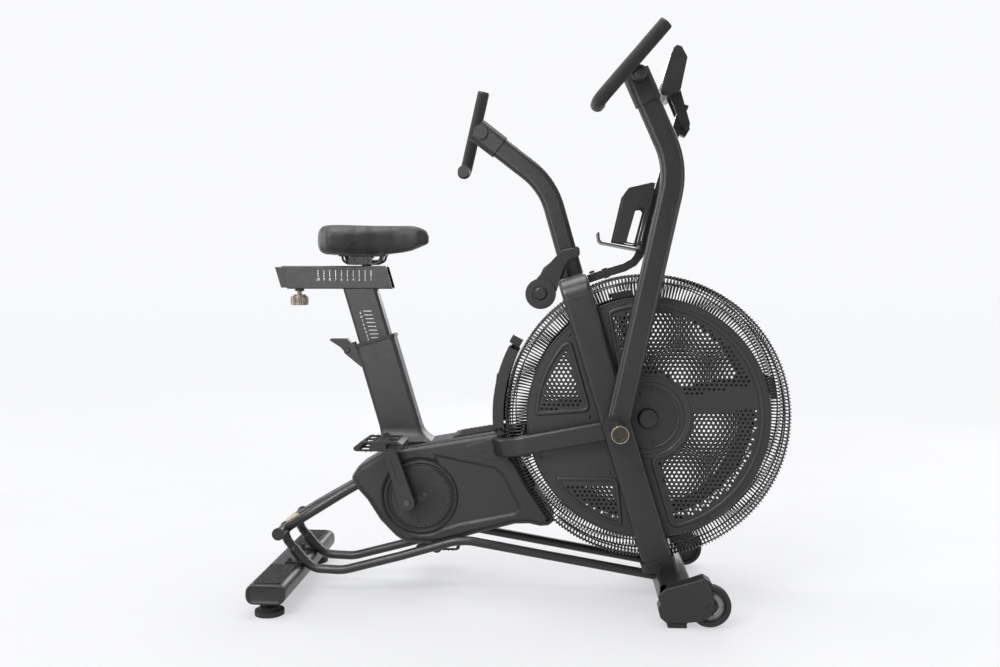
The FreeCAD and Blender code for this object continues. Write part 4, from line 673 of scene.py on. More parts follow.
# ridges pressed round the windows
aA = math.atan2(264, -97)
aB = math.atan2(-268, 60)
big = [(-69, 113), (-97, 262)] + arc(R_OUT, aA - 0.05, aB + 0.05, 60)[0:] + [(60, -266), (11, -104)]
h1 = math.atan2(-91, 50)
h2 = math.atan2(84, -60)
big += arc(R_IN, h1, h2, 24)
aC0, aC1 = math.atan2(187, -206), math.atan2(-4, -281)
cpath = [(-146, 19), (-194, 187)] + arc(R_OUT - 4, aC0 + 0.03, math.pi - 0.03, 12)
dA, dB = math.atan2(-160, -231), math.atan2(-275, -58)
dpath = [(-77, -155), (-222, -155)] + arc(R_OUT - 4, dA + math.tau + 0.03, dB + math.tau - 0.03, 12)
V, F = [], []
for s in (1, -1):
    for path, r in ((big, 16), (cpath, 14), (dpath, 14)):
        pts = fillet(path, r)
        tube_geo(V, F, [(FX + x, -102.7 * s, FZ + z) for x, z in pts], (0, 1, 0), 3.6, 5.6, 12, True)
    ring(V, F, 301.2, -103.0 * s, 1.5, rb=1.8, n=200)
    ring(V, F, 97.0, -102.8 * s, 3.4, rb=6.5, n=96, seg=12)
    ring(V, F, 75.0, -104.8 * s, 2.6, rb=3.6, n=96, seg=12)
    ring(V, F, 26.5, -105.5 * s, 1.0, rb=1.4, n=60)
build("plate_ridges", V, F, "plate_black", "frame")
V, F = [], []
for s in (1, -1):
    for rx, rz in ((-266, -101), (-256, -141), (-96, -139), (-197, 207), (-146, 2), (278, 52), (200, 213), (150, -248), (-60, 286)):
        n = 14
        b0 = len(V)
        prof = [(4.2, 0.0), (4.0, 0.9), (3.1, 1.6), (1.6, 2.0), (0.01, 2.1)]
        for r, h in prof:
            for k in range(n):
                a = math.tau * k / n
                V.append((FX + rx + r * math.cos(a), -(103.0 + h) * s, FZ + rz + r * math.sin(a)))
        for q in range(len(prof) - 1):
            for k in range(n):
                k2 = (k + 1) % n
                F.append((b0 + q * n + k, b0 + q * n + k2, b0 + (q + 1) * n + k2, b0 + (q + 1) * n + k))
        F.append(tuple(b0 + k for k in range(n)))
for s in (1, -1):
    for deg in (15, 105, 195, 285):
        x, z = FX + 62 * math.cos(math.radians(deg)), FZ + 62 * math.sin(math.radians(deg))
        tube_geo(V, F, [(x, -105.3 * s, z), (x, -107.2 * s, z), (x, -107.9 * s, z)], (1, 0, 0), 5.2, 5.2, 20, False, taper=[1, 1, 0.8])
build("plate_rivets", V, F, "bolt_black", "frame")

# ---------------------------------------------------------------- shroud details
DX, DZ = -268.5, 258.0
CX, CZ = -299.5, 250.0
V, F = [], []
for s in (1, -1):
    V1, F1 = fill_loops([circ(DX, DZ, 78.0, 96), circ(CX, CZ, 11.2, 40)], 61.0 * s, 61.0 * s)
    V1 = [(x, 61.0 * s, z) for x, y, z in V1]
    add_geo(V, F, V1, F1)
    b0 = len(V)
    prof = [(78.0, 61.0), (80.2, 60.5), (81.8, 58.6), (82.8, 56.6), (85.6, 56.2), (87.2, 57.6), (88.6, 59.8), (91.0, 60.2), (93.4, 59.0), (95.2, 56.0), (95.8, 51.0)]
    for r, y in prof:
        for k in range(96):
            a = math.tau * k / 96
            V.append((DX + r * math.cos(a), y * s, DZ + r * math.sin(a)))
    for q in range(len(prof) - 1):
        for k in range(96):
            k2 = (k + 1) % 96
            F.append((b0 + q * 96 + k, b0 + q * 96 + k2, b0 + (q + 1) * 96 + k2, b0 + (q + 1) * 96 + k))
    b0 = len(V)
    for y in (61.0, 53.0):
        for k in range(40):
            a = math.tau * k / 40
            V.append((CX + 11.2 * math.cos(a), y * s, CZ + 11.2 * math.sin(a)))
    for k in range(40):
        k2 = (k + 1) % 40
        F.append((b0 + k, b0 + k2, b0 + 40 + k2, b0 + 40 + k))
dc = build("disc_covers", V, F, "shroud_plastic", "frame", replaces=("shroud_trim",))
sharp(dc, 40)
V, F = [], []
for s in (1, -1):
    for q in range(40):
        a0 = math.tau * q / 40
        pts = []
        for k in range(17):
            t = k / 16
            r = 4 + 72 * t
            a = a0 + 1.25 * (1 - (1 - t) ** 1.6) * s
            x, z = DX + r * math.cos(a), DZ + r * math.sin(a)
            if math.hypot(x - CX, z - CZ) > 13.0:
                pts.append((x, 61.0 * s, z))
            elif len(pts) > 3:
                tube_geo(V, F, pts, (0, 1, 0), 1.0, 1.1, 6)
                pts = []
            else:
                pts = []
        if len(pts) > 3:
            tube_geo(V, F, pts, (0, 1, 0), 1.0, 1.1, 6)
    ring(V, F, 77.5, -61.0 * s, 0.8, rb=1.1, n=72, cx=DX, cz=DZ)
build("disc_ribs", V, F, "shroud_plastic", "frame")


def panel(V, F, poly, y, h, edge):
    """A raised panel with sloped edges on a face that looks along -y."""
    n = len(poly)
    c = Vector((sum(p[0] for p in poly) / n, sum(p[1] for p in poly) / n))
    rows = []
    for off, hh in ((0.0, -0.4), (0.0, h * 0.35), (edge * 0.45, h * 0.85), (edge, h)):
        row = []
        for i in range(n):
            p = Vector(poly[i])
            a = (p - Vector(poly[i - 1])).normalized()
            b = (Vector(poly[(i + 1) % n]) - p).normalized()
            t = (a + b).normalized()
            nn = Vector((-t.y, t.x))
            if nn.dot(c - p) < 0:
                nn = -nn
            q = p + nn * off
            row.append((q.x, y - hh if y < 0 else y + hh, q.y))
        rows.append(row)
    b0 = len(V)
    for row in rows:
        V.extend(row)
    for r in range(3):
        for i in range(n):
            i2 = (i + 1) % n
            F.append((b0 + r * n + i, b0 + r * n + i2, b0 + (r + 1) * n + i2, b0 + (r + 1) * n + i))
    F.append(tuple(b0 + 3 * n + i for i in range(n)))
    F.append(tuple(b0 + i for i in reversed(range(n))))


# ---------------------------------------------------------------- step plates' grip pattern
V, F = [], []


def pyramid(V, F, c, u, v, w, a, b, h):
    b0 = len(V)
    c, u, v, w = Vector(c), Vector(u), Vector(v), Vector(w)
    for du, dv in ((a, 0), (0, b), (-a, 0), (0, -b)):
        V.append(tuple(c + u * du + v * dv - w * 0.3))
    for du, dv in ((a * .35, 0), (0, b * .35), (-a * .35, 0), (0, -b * .35)):
        V.append(tuple(c + u * du + v * dv + w * h))
    for k in range(4):
        k2 = (k + 1) % 4
        F.append((b0 + k, b0 + k2, b0 + 4 + k2, b0 + 4 + k))
    F.append((b0 + 4, b0 + 5, b0 + 6, b0 + 7))
    F.append((b0 + 3, b0 + 2, b0 + 1, b0))


def grid_on(V, F, c0, u, v, w, nu, nv, pu, pv, a, b, h):
    for i in range(nu):
        for j in range(nv):
            if (i + j) % 2:
                continue
            c = Vector(c0) + Vector(u) * (i * pu) + Vector(v) * (j * pv)
            pyramid(V, F, c, u, v, w, a, b, h)


for s in (1, -1):
    grid_on(V, F, (-646.0, s * 172.0 - 67.2, 86.2), (1, 0, 0), (0, 1, 0), (0, 0, 1), 9, 22, 6.4, 6.4, 5.2, 2.6, 2.0)
d = Vector((111.0, 0.0, 19.0)).normalized()
grid_on(V, F, Vector((-166.0, -41.5, 419.2)), d, (0, 1, 0), Vector((-d.z, 0, d.x)), 17, 14, 6.2, 6.2, 5.0, 2.5, 1.8)
build("step_grip", V, F, "nylon_black", "frame", smooth=False)

# shroud: a raised band round a sunk panel, with sloped sides
def inset_loop(poly, d):
    """Moves each point of a closed flat loop inwards by d."""
    n = len(poly)
    area2 = sum(poly[i - 1][0] * poly[i][1] - poly[i][0] * poly[i - 1][1] for i in range(n))
    sg = 1.0 if area2 > 0 else -1.0
    out = []
    for i in range(n):
        p = Vector(poly[i])
        a = p - Vector(poly[i - 1])
        b = Vector(poly[(i + 1) % n]) - p
        a.normalize()
        b.normalize()
        t = a + b
        if t.length < 1e-6:
            t = a.copy()
        t.normalize()
        nn = Vector((-t.y, t.x)) * sg
        k = 1.0 / max(0.55, a.dot(t))
        q = p + nn * (d * k)
        out.append((q.x, q.y))
    return out


def band_geo(V, F, outer, inner, y, h, slope_o, slope_i, under=0.6):
    """The area between two loops, raised by h from a face that looks along y's sign, with sloped sides."""
    sg = -1.0 if y < 0 else 1.0
    ot, it = inset_loop(outer, slope_o), inset_loop(inner, -slope_i)
    V1, F1 = fill_loops([ot, it], y, y)
    V1 = [(x, y + sg * h, z) for x, _, z in V1]
    add_geo(V, F, V1, F1)
    for low, top in ((outer, ot), (inner, it)):
        n = len(low)
        b0 = len(V)
        mid = [((a[0] * 0.35 + b[0] * 0.65), (a[1] * 0.35 + b[1] * 0.65)) for a, b in zip(low, top)]
        V.extend((x, y - sg * under, z) for x, z in low)
        V.extend((x, y + sg * h * 0.82, z) for x, z in mid)
        V.extend((x, y + sg * h, z) for x, z in top)
        for r in (0, 1):
            for i in range(n):
                i2 = (i + 1) % n
                F.append((b0 + r * n + i, b0 + r * n + i2, b0 + (r + 1) * n + i2, b0 + (r + 1) * n + i))


sh_r = [24, 30, 30, 30, 60, 40, 30, 20, 40, 60, 60, 8, 8, 8, 14, 30, 60, 60, 6, 40, 6, 60, 60]
outer = inset_loop(fillet(SHROUD, sh_r, True, 5), 6.5)
rec = [(-226.5, 362.3), (-142.6, 344.5), (-82.0, 333.0), (-60.5, 317.0), (-17.2, 231.5), (-29.0, 219.3), (-173.5, 189.0)]
arcl = [(DX + 97.0 * math.cos(math.radians(t)), DZ + 97.0 * math.sin(math.radians(t))) for t in range(300, 58, -8)]
inner = arcl + fillet(rec, [8, 30, 16, 14, 8, 10, 16], False, 5)
V, F = [], []
for s in (-1, 1):
    band_geo(V, F, outer, inner, 52.0 * s, 4.6, 9.5, 8.5)
    tri = fillet([(-166, 388), (-96, 353), (-36, 362), (-52, 398), (-62, 418)], [10, 14, 10, 8, 6], True, 4)
    base = len(V)
    panel(V, F, tri, 56.4 * s, 0.9, 5.0)
sb_ = build("shroud_bands", V, F, "shroud_plastic", "frame", smooth=False)
V, F = [], []
for s in (-1, 1):
    for cx, cz in ((-405, 300), (-300, 150), (40, 200)):
        prism_geo(V, F, circ(cx, cz, 5.2, 20), 52.6 * s, 57.0 * s)
    prism_geo(V, F, circ(-110, 377, 6.4, 24), 55.6 * s, 57.9 * s)
    prism_geo(V, F, circ(-71, 375, 7.4, 32), 55.0 * s, 60.0 * s)
    prism_geo(V, F, circ(-71, 375, 5.2, 32), 59.8 * s, 60.8 * s)
build("shroud_caps", V, F, "bolt_black", "frame", smooth=False)

# ---------------------------------------------------------------- scale marks
T = math.radians(-16.3)
AX = Vector((math.sin(T), 0, math.cos(T)))
AC = Vector((math.cos(T), 0, -math.sin(T)))
TOPC = Vector((-392.0, 0.0, 656.0))


def strip_geo(V, F, c, u, w, lu, lw, y0, y1):
    b0 = len(V)
    c, u, w = Vector(c), Vector(u), Vector(w)
    for y in (y0, y1):
        for du, dw in ((-lu, -lw), (lu, -lw), (lu, lw), (-lu, lw)):
            p = c + u * (du / 2) + w * (dw / 2)
            V.append((p.x, y, p.z))
    for q in ((3, 2, 1, 0), (4, 5, 6, 7), (0, 1, 5, 4), (1, 2, 6, 5), (2, 3, 7, 6), (3, 0, 4, 7)):
        F.append(tuple(b0 + k for k in q))


def text_geo(V, F, body, size, origin, rot, y):
    """Plain numerals, 0.2 mm proud of a face that looks along -y."""
    cu = bpy.data.curves.new("t", "FONT")
    cu.body = body
    cu.size = size * MM
    cu.extrude = 0.0001
    cu.align_x = "CENTER"
    cu.align_y = "CENTER"
    cu.resolution_u = 3
    ob = bpy.data.objects.new("t", cu)
    SC.collection.objects.link(ob)
    dg = bpy.context.evaluated_depsgraph_get()
    me = bpy.data.meshes.new_from_object(ob.evaluated_get(dg))
    b0 = len(V)
    c, s = math.cos(rot), math.sin(rot)
    for v in me.vertices:
        x, z = v.co.x / MM, v.co.y / MM
        V.append((origin[0] + x * c - z * s, y - v.co.z / MM, origin[1] + x * s + z * c))
    for p in me.polygons:
        F.append(tuple(b0 + i for i in p.vertices))
    bpy.data.objects.remove(ob)
    bpy.data.curves.remove(cu)
    bpy.data.meshes.remove(me)


V, F = [], []
for k in range(10):
    x = -541.2 + k * (139.7 / 9)
    strip_geo(V, F, (x, 0, 835.0), (1, 0, 0), (0, 0, 1), 1.5, 18.0, -22.45, -22.72)
    text_geo(V, F, str(10 - k), 10.5, (x, 819.5), 0.0, -22.62)
for k in range(9):
    c = TOPC + AX * ((736.2 - 656.0) / AX.z - k * 10.35) + AC * 4.0
    strip_geo(V, F, c, (1, 0, 0), (0, 0, 1), 22.0, 1.4, -22.45, -22.72)
    n = TOPC + AX * ((736.2 - 656.0) / AX.z - k * 10.35) - AC * 15.5
    text_geo(V, F, str(9 - k), 8.6, (n.x, n.z), 0.0, -22.62)
build("scale_marks", V, F, "button_grey", "seat_post_body", smooth=False, mat="mark_white")

# ---------------------------------------------------------------- knurled knob
V, F = [], []
NK = 96
prof = [(0.01, 752.2), (20.5, 752.2), (22.3, 752.7), (22.9, 753.6), (22.9, 756.4)]
prof += [("k", 757.0 + 1.75 * q) for q in range(9)]
prof += [(22.9, 771.8), (22.9, 774.8), (22.2, 775.9), (18.0, 776.2), (18.0, 779.9), (6.5, 780.2), (6.5, 797.2), (0.01, 797.3)]
for q, (r, z) in enumerate(prof):
    for k in range(NK):
        a = math.tau * k / NK
        rr = r
        if r == "k":
            rr = 23.3 if (k // 2) % 2 else 22.1
        V.append((-597.0 + rr * math.cos(a), rr * math.sin(a), z))
for q in range(len(prof) - 1):
    for k in range(NK):
        k2 = (k + 1) % NK
        F.append((q * NK + k, q * NK + k2, (q + 1) * NK + k2, (q + 1) * NK + k))
kn = build("knurled_knob", V, F, "knob_metal", "knob", smooth=True, replaces=("slider_knob",))
sharp(kn, 25)

# ---------------------------------------------------------------- pedals: open cages with studs
P_OUT = [(-60, -10), (-52, -13), (52, -13), (60, -10), (60, 5), (48, 12), (-38, 12), (-60, -3)]
P_W1 = [(-49, -8), (-20, -8), (-20, 7), (-34, 7)]
P_W2 = [(20, -8), (51, -8), (53, 2), (44, 7), (20, 7)]
for side, body, cx, cz, s in (("right", "right_pedal_body", -352.94, 413.49, -1), ("left", "left_pedal_body", -246.06, 86.51, 1)):
    V, F = [], []
    mv = lambda pts: [(cx + x, cz + z) for x, z in pts]
    for y0, y1 in ((101.5, 106.5), (148.0, 152.5), (194.5, 199.5)):
        V1, F1 = fill_loops([fillet(mv(P_OUT), 3.0), fillet(mv(P_W1), 3.0), fillet(mv(P_W2), 3.0)], min(s * y0, s * y1), max(s * y0, s * y1))
        add_geo(V, F, V1, F1)
    for y0, y1 in ((106.0, 195.0),):
        prism_geo(V, F, fillet(mv([(-60, -10), (-52, -13), (-44, -13), (-49, -7), (-36, 9), (-34, 12), (-38, 12), (-60, -3)]), 1.5), s * y0, s * y1)
        prism_geo(V, F, fillet(mv([(50, -13), (52, -13), (60, -10), (60, 5), (48, 12), (43, 12), (44, 8), (53, 2), (54, -8)]), 1.5), s * y0, s * y1)
        prism_geo(V, F, circ(cx, cz, 12.2, 28), s * 102.0, s * 199.0)
        prism_geo(V, F, fillet(mv([(-22, -9), (22, -9), (20, 9), (-20, 9)]), 4.0), s * 112.0, s * 189.0)
    ob = build(side + "_pedal_cage", V, F, "pedal_plastic", body, smooth=False, replaces=(side + "_pedal",))
    V, F = [], []
    for x in (-30, -17, 17, 30, 42):
        for y in (104.0, 150.2, 197.0):
            pyramid(V, F, (cx + x, s * y, cz + 12.0), (1, 0, 0), (0, 1, 0), (0, 0, 1), 2.3, 2.3, 2.6)
            pyramid(V, F, (cx + x, s * y, cz - 13.0), (1, 0, 0), (0, 1, 0), (0, 0, -1), 2.3, 2.3, 2.6)
    build(side + "_pedal_studs", V, F, "bolt_black", body, smooth=False)


# ---------------------------------------------------------------- soft pieces
def to_object(name, bm_or_mesh, slot):
    ob = bpy.data.objects.new(name, bm_or_mesh)
    SC.collection.objects.link(ob)
    ob.data.materials.clear()
    ob.data.materials.append(MATS[slot])
    return ob


def remeshed(ob, voxel, smooth_it=0, factor=0.5):
    rm = ob.modifiers.new("r", "REMESH")
    rm.mode = "VOXEL"
    rm.voxel_size = voxel
    if smooth_it:
        sm = ob.modifiers.new("s", "SMOOTH")
        sm.iterations = smooth_it
        sm.factor = factor
    dg = bpy.context.evaluated_depsgraph_get()
    dg.update()
    me = bpy.data.meshes.new_from_object(ob.evaluated_get(dg))
    mats = list(ob.data.materials)
    ob.modifiers.clear()
    ob.data = me
    me.materials.clear()
    for m in mats:
        me.materials.append(m)
    for p in me.polygons:
        p.use_smooth = True
    return ob


def apply_all(ob):
    dg = bpy.context.evaluated_depsgraph_get()
    dg.update()
    me = bpy.data.meshes.new_from_object(ob.evaluated_get(dg))
    mats = list(ob.data.materials)
    ob.modifiers.clear()
    ob.data = me
    me.materials.clear()
    for m in mats:
        me.materials.append(m)
    for p in me.polygons:
        p.use_smooth = True


def inflate(ob, pressure, cap, frames=20):
    base = [v.co.copy() for v in ob.data.vertices]
    cl = ob.modifiers.new("c", "CLOTH")
    st = cl.settings
    st.use_pressure = True
    st.uniform_pressure_force = pressure
    st.effector_weights.gravity = 0.0
    st.quality = 5
    cl.collision_settings.use_collision = False
    cl.point_cache.frame_start = 1
    cl.point_cache.frame_end = frames
    for f in range(1, frames + 1):
        SC.frame_set(f)
    dg = bpy.context.evaluated_depsgraph_get()
    ev = ob.evaluated_get(dg)
    co = [v.co.copy() for v in ev.data.vertices]
    ob.modifiers.clear()
    SC.frame_set(1)
    for v, p, q in zip(ob.data.vertices, base, co):
        d = q - p
        if d.length > cap:
            d = d * (cap / d.length)
        v.co = p + d
    ob.data.update()


PLAN = [(-538.5, 0), (-537, 30), (-534, 62), (-522, 97), (-496, 116), (-457, 109), (-417, 79), (-380, 49), (-332, 34), (-277, 27), (-254, 14), (-248, 0)]


def lerp_tab(tab, x):
    for (a, va), (b, vb) in zip(tab, tab[1:]):
        if a <= x <= b:
            t = (x - a) / (b - a)
            t = t * t * (3 - 2 * t) * 0.5 + t * 0.5
            return va + (vb - va) * t
    return tab[0][1] if x < tab[0][0] else tab[-1][1]


ZT = [(-540, 938), (-534, 948), (-520, 954.5), (-495, 956.5), (-440, 954.5), (-380, 954.0), (-310, 955.0), (-275, 954.5), (-257, 948), (-247, 934)]
ZB = [(-540, 897), (-532, 888), (-515, 886.3), (-470, 886.0), (-420, 887.0), (-367, 890.5), (-330, 894.5), (-292, 900.5), (-262, 908.0), (-247, 914)]
V, F = [], []
NX, NT = 64, 48
for i in range(NX + 1):
    t = i / NX
    x = -537.0 + (537.0 - 248.5) * (0.5 - 0.5 * math.cos(math.pi * t))
    w = max(3.0, lerp_tab(PLAN, x)) * 0.965
    zt, zb = lerp_tab(ZT, x), lerp_tab(ZB, x)
    zm = zb + (zt - zb) * 0.45
    for j in range(NT):
        a = math.tau * j / NT
        ca, sa = math.cos(a), math.sin(a)
        y = w * math.copysign(abs(ca) ** 0.50, ca)
        if sa >= 0:
            z = zm + (zt - zm) * abs(sa) ** 0.72
            lobe = math.exp(-((abs(y) - 62.0) / 30.0) ** 2) * 3.0 * max(0.0, min(1.0, (-420.0 - x) / 60.0))
            groove = math.exp(-(y / 13.0) ** 2) * 3.2 * max(0.0, min(1.0, (x + 530.0) / 40.0)) * max(0.0, min(1.0, (-300.0 - x) / 60.0))
            z += (lobe - groove) * sa
        else:
            z = zm - (zm - zb) * abs(sa) ** 0.40
        V.append((x, y, z))
for i in range(NX):
    for j in range(NT):
        j2 = (j + 1) % NT
        F.append((i * NT + j, i * NT + j2, (i + 1) * NT + j2, (i + 1) * NT + j))
F.append(tuple(range(NT)))
F.append(tuple(NX * NT + j for j in range(NT)))
me = bpy.data.meshes.new("saddle")
me.from_pydata([tuple(c * MM for c in v) for v in V], [], F)
saddle = to_object("saddle_cushion", me, "saddle_skin")
remeshed(saddle, 0.005, 6, 0.5)
inflate(saddle, 4.0, 0.006)
lo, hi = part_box("saddle_pad")
for v in saddle.data.vertices:
    v.co.z = max(v.co.z, 0.8842)
    v.co.z = min(v.co.z, hi[2] - 0.0005)
    v.co.x = max(lo[0] + 0.0008, min(hi[0] - 0.0008, v.co.x))
    v.co.y = max(lo[1] + 0.0008, min(hi[1] - 0.0008, v.co.y))
sb = saddle.modifiers.new("sub", "SUBSURF")
sb.levels = 1
sb.render_levels = 1
apply_all(saddle)
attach(saddle, "saddle")
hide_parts("saddle_pad", "saddle_base")


def seam(name, ob, zfun, rad, inset=0.0):
    """A piped seam round the cushion, on its own skin."""
    bvh = BVHTree.FromObject(ob, bpy.context.evaluated_depsgraph_get())
    pts = []
    spine = [(-470.0, 0.0), (-300.0, 0.0)]
    outline = []
    for k in range(240):
        a = math.tau * k / 240
        dx, dy = math.cos(a), math.sin(a)
        # centre of the ray slides along the spine with the angle
        t = (dx + 1) / 2
        cx = -470.0 + t * 185.0
        outline.append((cx, dx, dy))
    for cx, dx, dy in outline:
        z = zfun(cx)
        o = Vector((cx * MM, 0, z * MM))
        dr = Vector((dx, dy, 0))
        hit = bvh.ray_cast(o, dr, 0.4)
        if hit[0] is None:
            continue
        p = hit[0] - dr * (inset * MM)
        z2 = zfun(p.x / MM)
        o2 = Vector((o.x, 0, z2 * MM))
        hit = bvh.ray_cast(o2, dr, 0.4)
        if hit[0] is not None:
            p = hit[0] - dr * (inset * MM)
        pts.append((p.x / MM, p.y / MM, p.z / MM))
    V, F = [], []
    tube_geo(V, F, pts, (0, 0, 1), rad, rad, 8, True)
    o = build(name, V, F, "saddle_skin", "saddle")
    return o


ZS = [(-540, 896), (-515, 892), (-470, 891.5), (-420, 892.5), (-367, 896), (-330, 900), (-292, 906.5), (-262, 914.0), (-246, 919)]
seam("saddle_piping", saddle, lambda x: lerp_tab(ZS, x), 1.3, 0.5)

# ---------------------------------------------------------------- foam sleeves on the handles
def round_path(pts, radii, step=6):
    out = []
    n = len(pts)
    P = [Vector(p) for p in pts]
    for i in range(n):
        if i in (0, n - 1):
            out.append(P[i])
            continue
        a, b, p, r = P[i - 1], P[i + 1], P[i], radii[i - 1]
        ua, ub = (a - p).normalized(), (b - p).normalized()
        ang = math.acos(max(-1, min(1, ua.dot(ub))))
        d = min(r / math.tan(ang / 2), (a - p).length * 0.49, (b - p).length * 0.49)
        s0, e0 = p + ua * d, p + ub * d
        for k in range(step + 1):
            t = k / step
            out.append(s0 * (1 - t) ** 2 + p * (2 * t * (1 - t)) + e0 * t * t)
    return out


def dense(path, step):
    out = [path[0]]
    for a, b in zip(path, path[1:]):
        L = (b - a).length
        n = max(1, int(L / step))
        for k in range(1, n + 1):
            out.append(a + (b - a) * (k / n))
    return out


def sweep_geo(V, F, path, rfun, seg=24):
    """A round tube along any path, with a radius that may change, closed at both ends."""
    n = len(path)
    t = (path[1] - path[0]).normalized()
    ref = Vector((0, 1, 0)) if abs(t.y) < 0.9 else Vector((1, 0, 0))
    u = (ref - t * ref.dot(t)).normalized()
    L = [0.0]
    for a, b in zip(path, path[1:]):
        L.append(L[-1] + (b - a).length)
    b0 = len(V)
    for i, p in enumerate(path):
        if i:
            t2 = ((path[min(i + 1, n - 1)] - path[i - 1])).normalized()
            u = (u - t2 * u.dot(t2)).normalized()
            t = t2
        w = t.cross(u)
        for j in range(seg):
            a = math.tau * j / seg
            r = rfun(L[i], L[-1], a)
            V.append(tuple(p + u * (r * math.cos(a)) + w * (r * math.sin(a))))
    for i in range(n - 1):
        for j in range(seg):
            j2 = (j + 1) % seg
            F.append((b0 + i * seg + j, b0 + i * seg + j2, b0 + (i + 1) * seg + j2, b0 + (i + 1) * seg + j))
    F.append(tuple(b0 + j for j in range(seg)))
    F.append(tuple(b0 + (n - 1) * seg + j for j in range(seg)))


def foam_radius(R, e):
    def f(l, total, a):
        d = min(l, total - l)
        k = 1.0 if d > e else math.sqrt(max(0.0, 1 - ((e - d) / e) ** 2))
        wav = 0.08 * math.sin(l * 0.05) + 0.04 * math.sin(l * 0.11 + 2 * a)
        return max(0.6, (R + wav) * (0.25 + 0.75 * k))
    return f


def arm_turn(p):
    """The left arm stands at its own angle about the pivot."""
    a = math.radians(-28.2)
    x, z = p[0] - 229.5, p[2] - 462.0
    c, s = math.cos(a), math.sin(a)
    return (229.5 + c * x + s * z, -p[1], 462.0 - s * x + c * z)


HP = [(331.0, -240.0, 1409.0), (179.0, -240.0, 1235.0), (176.0, -188.0, 1231.6)]
for side in ("right", "left"):
    lo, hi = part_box(side + "_foam_grip")
    pts = [Vector(p) for p in (HP if side == "right" else [arm_turn(p) for p in HP])]
    d0 = (pts[0] - pts[1]).normalized()
    pts[0] = pts[0] - d0 * 1.5
    path = dense(round_path(pts, [26.0], 8), 3.0)
    V, F = [], []
    sweep_geo(V, F, path, foam_radius(16.6, 3.0), 28)
    fo = build(side + "_foam_sleeve", V, F, "foam", side + "_arm_body", replaces=(side + "_foam_grip",))
    # domed end cap that closes the cross tube
    V, F = [], []
    c = Vector((271.7, -229.0, 1300.2))
    prof = [(17.9, 3.0), (17.9, 0.8), (17.0, -0.8), (14.0, -2.2), (8.0, -3.2), (0.05, -3.5)]
    ring_n = 32
    for r, dy in prof:
        for k in range(ring_n):
            a = math.tau * k / ring_n
            p = (c.x + r * math.cos(a), c.y + dy, c.z + r * math.sin(a))
            V.append(p if side == "right" else arm_turn(p))
    for q in range(len(prof) - 1):
        for k in range(ring_n):
            k2 = (k + 1) % ring_n
            F.append((q * ring_n + k, q * ring_n + k2, (q + 1) * ring_n + k2, (q + 1) * ring_n + k))
    F.append(tuple(range(ring_n)))
    build(side + "_tee_cap", V, F, "plastic_black", side + "_arm_body")

# ---------------------------------------------------------------- arm lock lever with a broad blade
V, F = [], []
blade = [(8, 800), (70, 874), (93.6, 897.1), (126, 904.0), (140.6, 899.9), (141.5, 885.0), (134, 879), (111.8, 871.4), (100.2, 853.3), (79.1, 786.7), (60, 770), (30, 765)]
bl = fillet(blade, [14, 40, 14, 6, 6, 5, 4, 10, 26, 14, 14, 14], True, 5)
rows = []
for off, y in ((1.2, 83.2), (0.0, 84.6), (0.0, 91.0), (1.6, 92.8)):
    lp_ = inset_loop(bl, off)
    rows.append([(x, y, z) for x, z in lp_])
nb = len(bl)
for row in rows:
    V.extend(row)
for r in range(3):
    for i in range(nb):
        i2 = (i + 1) % nb
        F.append((r * nb + i, r * nb + i2, (r + 1) * nb + i2, (r + 1) * nb + i))
F.append(tuple(range(nb)))
F.append(tuple(3 * nb + i for i in range(nb)))
build("lock_blade", V, F, "bracket_black", "arm_lock", smooth=False)

V, F = [], []
for s in (-1, 1):
    prism_geo(V, F, circ(-467.5, 635.0, 8.8, 36), 16.2 * s, 17.3 * s)
    ring(V, F, 7.6, 17.2 * s, 0.7, n=36, cx=-467.5, cz=635.0)
build("latch_washers", V, F, "bolt_black", "frame", smooth=False)

# ---------------------------------------------------------------- wheel side plates and bolts
WB = [(327.5, 60.0), (321.1, 77.4), (337.5, 93.4), (430.0, 121.0), (441.5, 106.0), (451.0, 84.0), (453.5, 66.0), (452.5, 50.0), (444.0, 31.0), (427.1, 19.7), (393.0, 15.0), (343.7, 13.9), (329.0, 33.3)]
for s in (-1, 1):
    V, F = [], []
    wb = fillet(WB, [4, 8, 10, 6, 8, 10, 10, 10, 10, 10, 8, 8, 14], True, 4)
    rows = []
    for off, y in ((0.0, 261.6), (0.0, 264.0), (0.8, 265.0), (2.2, 265.6)):
        rows.append([(x, s * y, z) for x, z in inset_loop(wb, off)])
    nb = len(wb)
    b0 = len(V)
    for row in rows:
        V.extend(row)
    for r in range(3):
        for i in range(nb):
            i2 = (i + 1) % nb
            F.append((b0 + r * nb + i, b0 + r * nb + i2, b0 + (r + 1) * nb + i2, b0 + (r + 1) * nb + i))
    F.append(tuple(b0 + i for i in range(nb)))
    F.append(tuple(b0 + 3 * nb + i for i in range(nb)))
    build(("right" if s < 0 else "left") + "_wheel_plate", V, F, "bracket_black", "frame", smooth=False)
V, F = [], []
for s in (-1, 1):
    prism_geo(V, F, circ(444, 53, 8.2, 32), 265.2 * s, 266.4 * s)
    prism_geo(V, F, circ(444, 53, 5.6, 6, 0.4), 266.2 * s, 269.6 * s)
    ring(V, F, 4.4, 269.4 * s, 0.7, n=24, cx=444, cz=53)
build("wheel_bolts", V, F, "bolt_black", "frame", smooth=False)
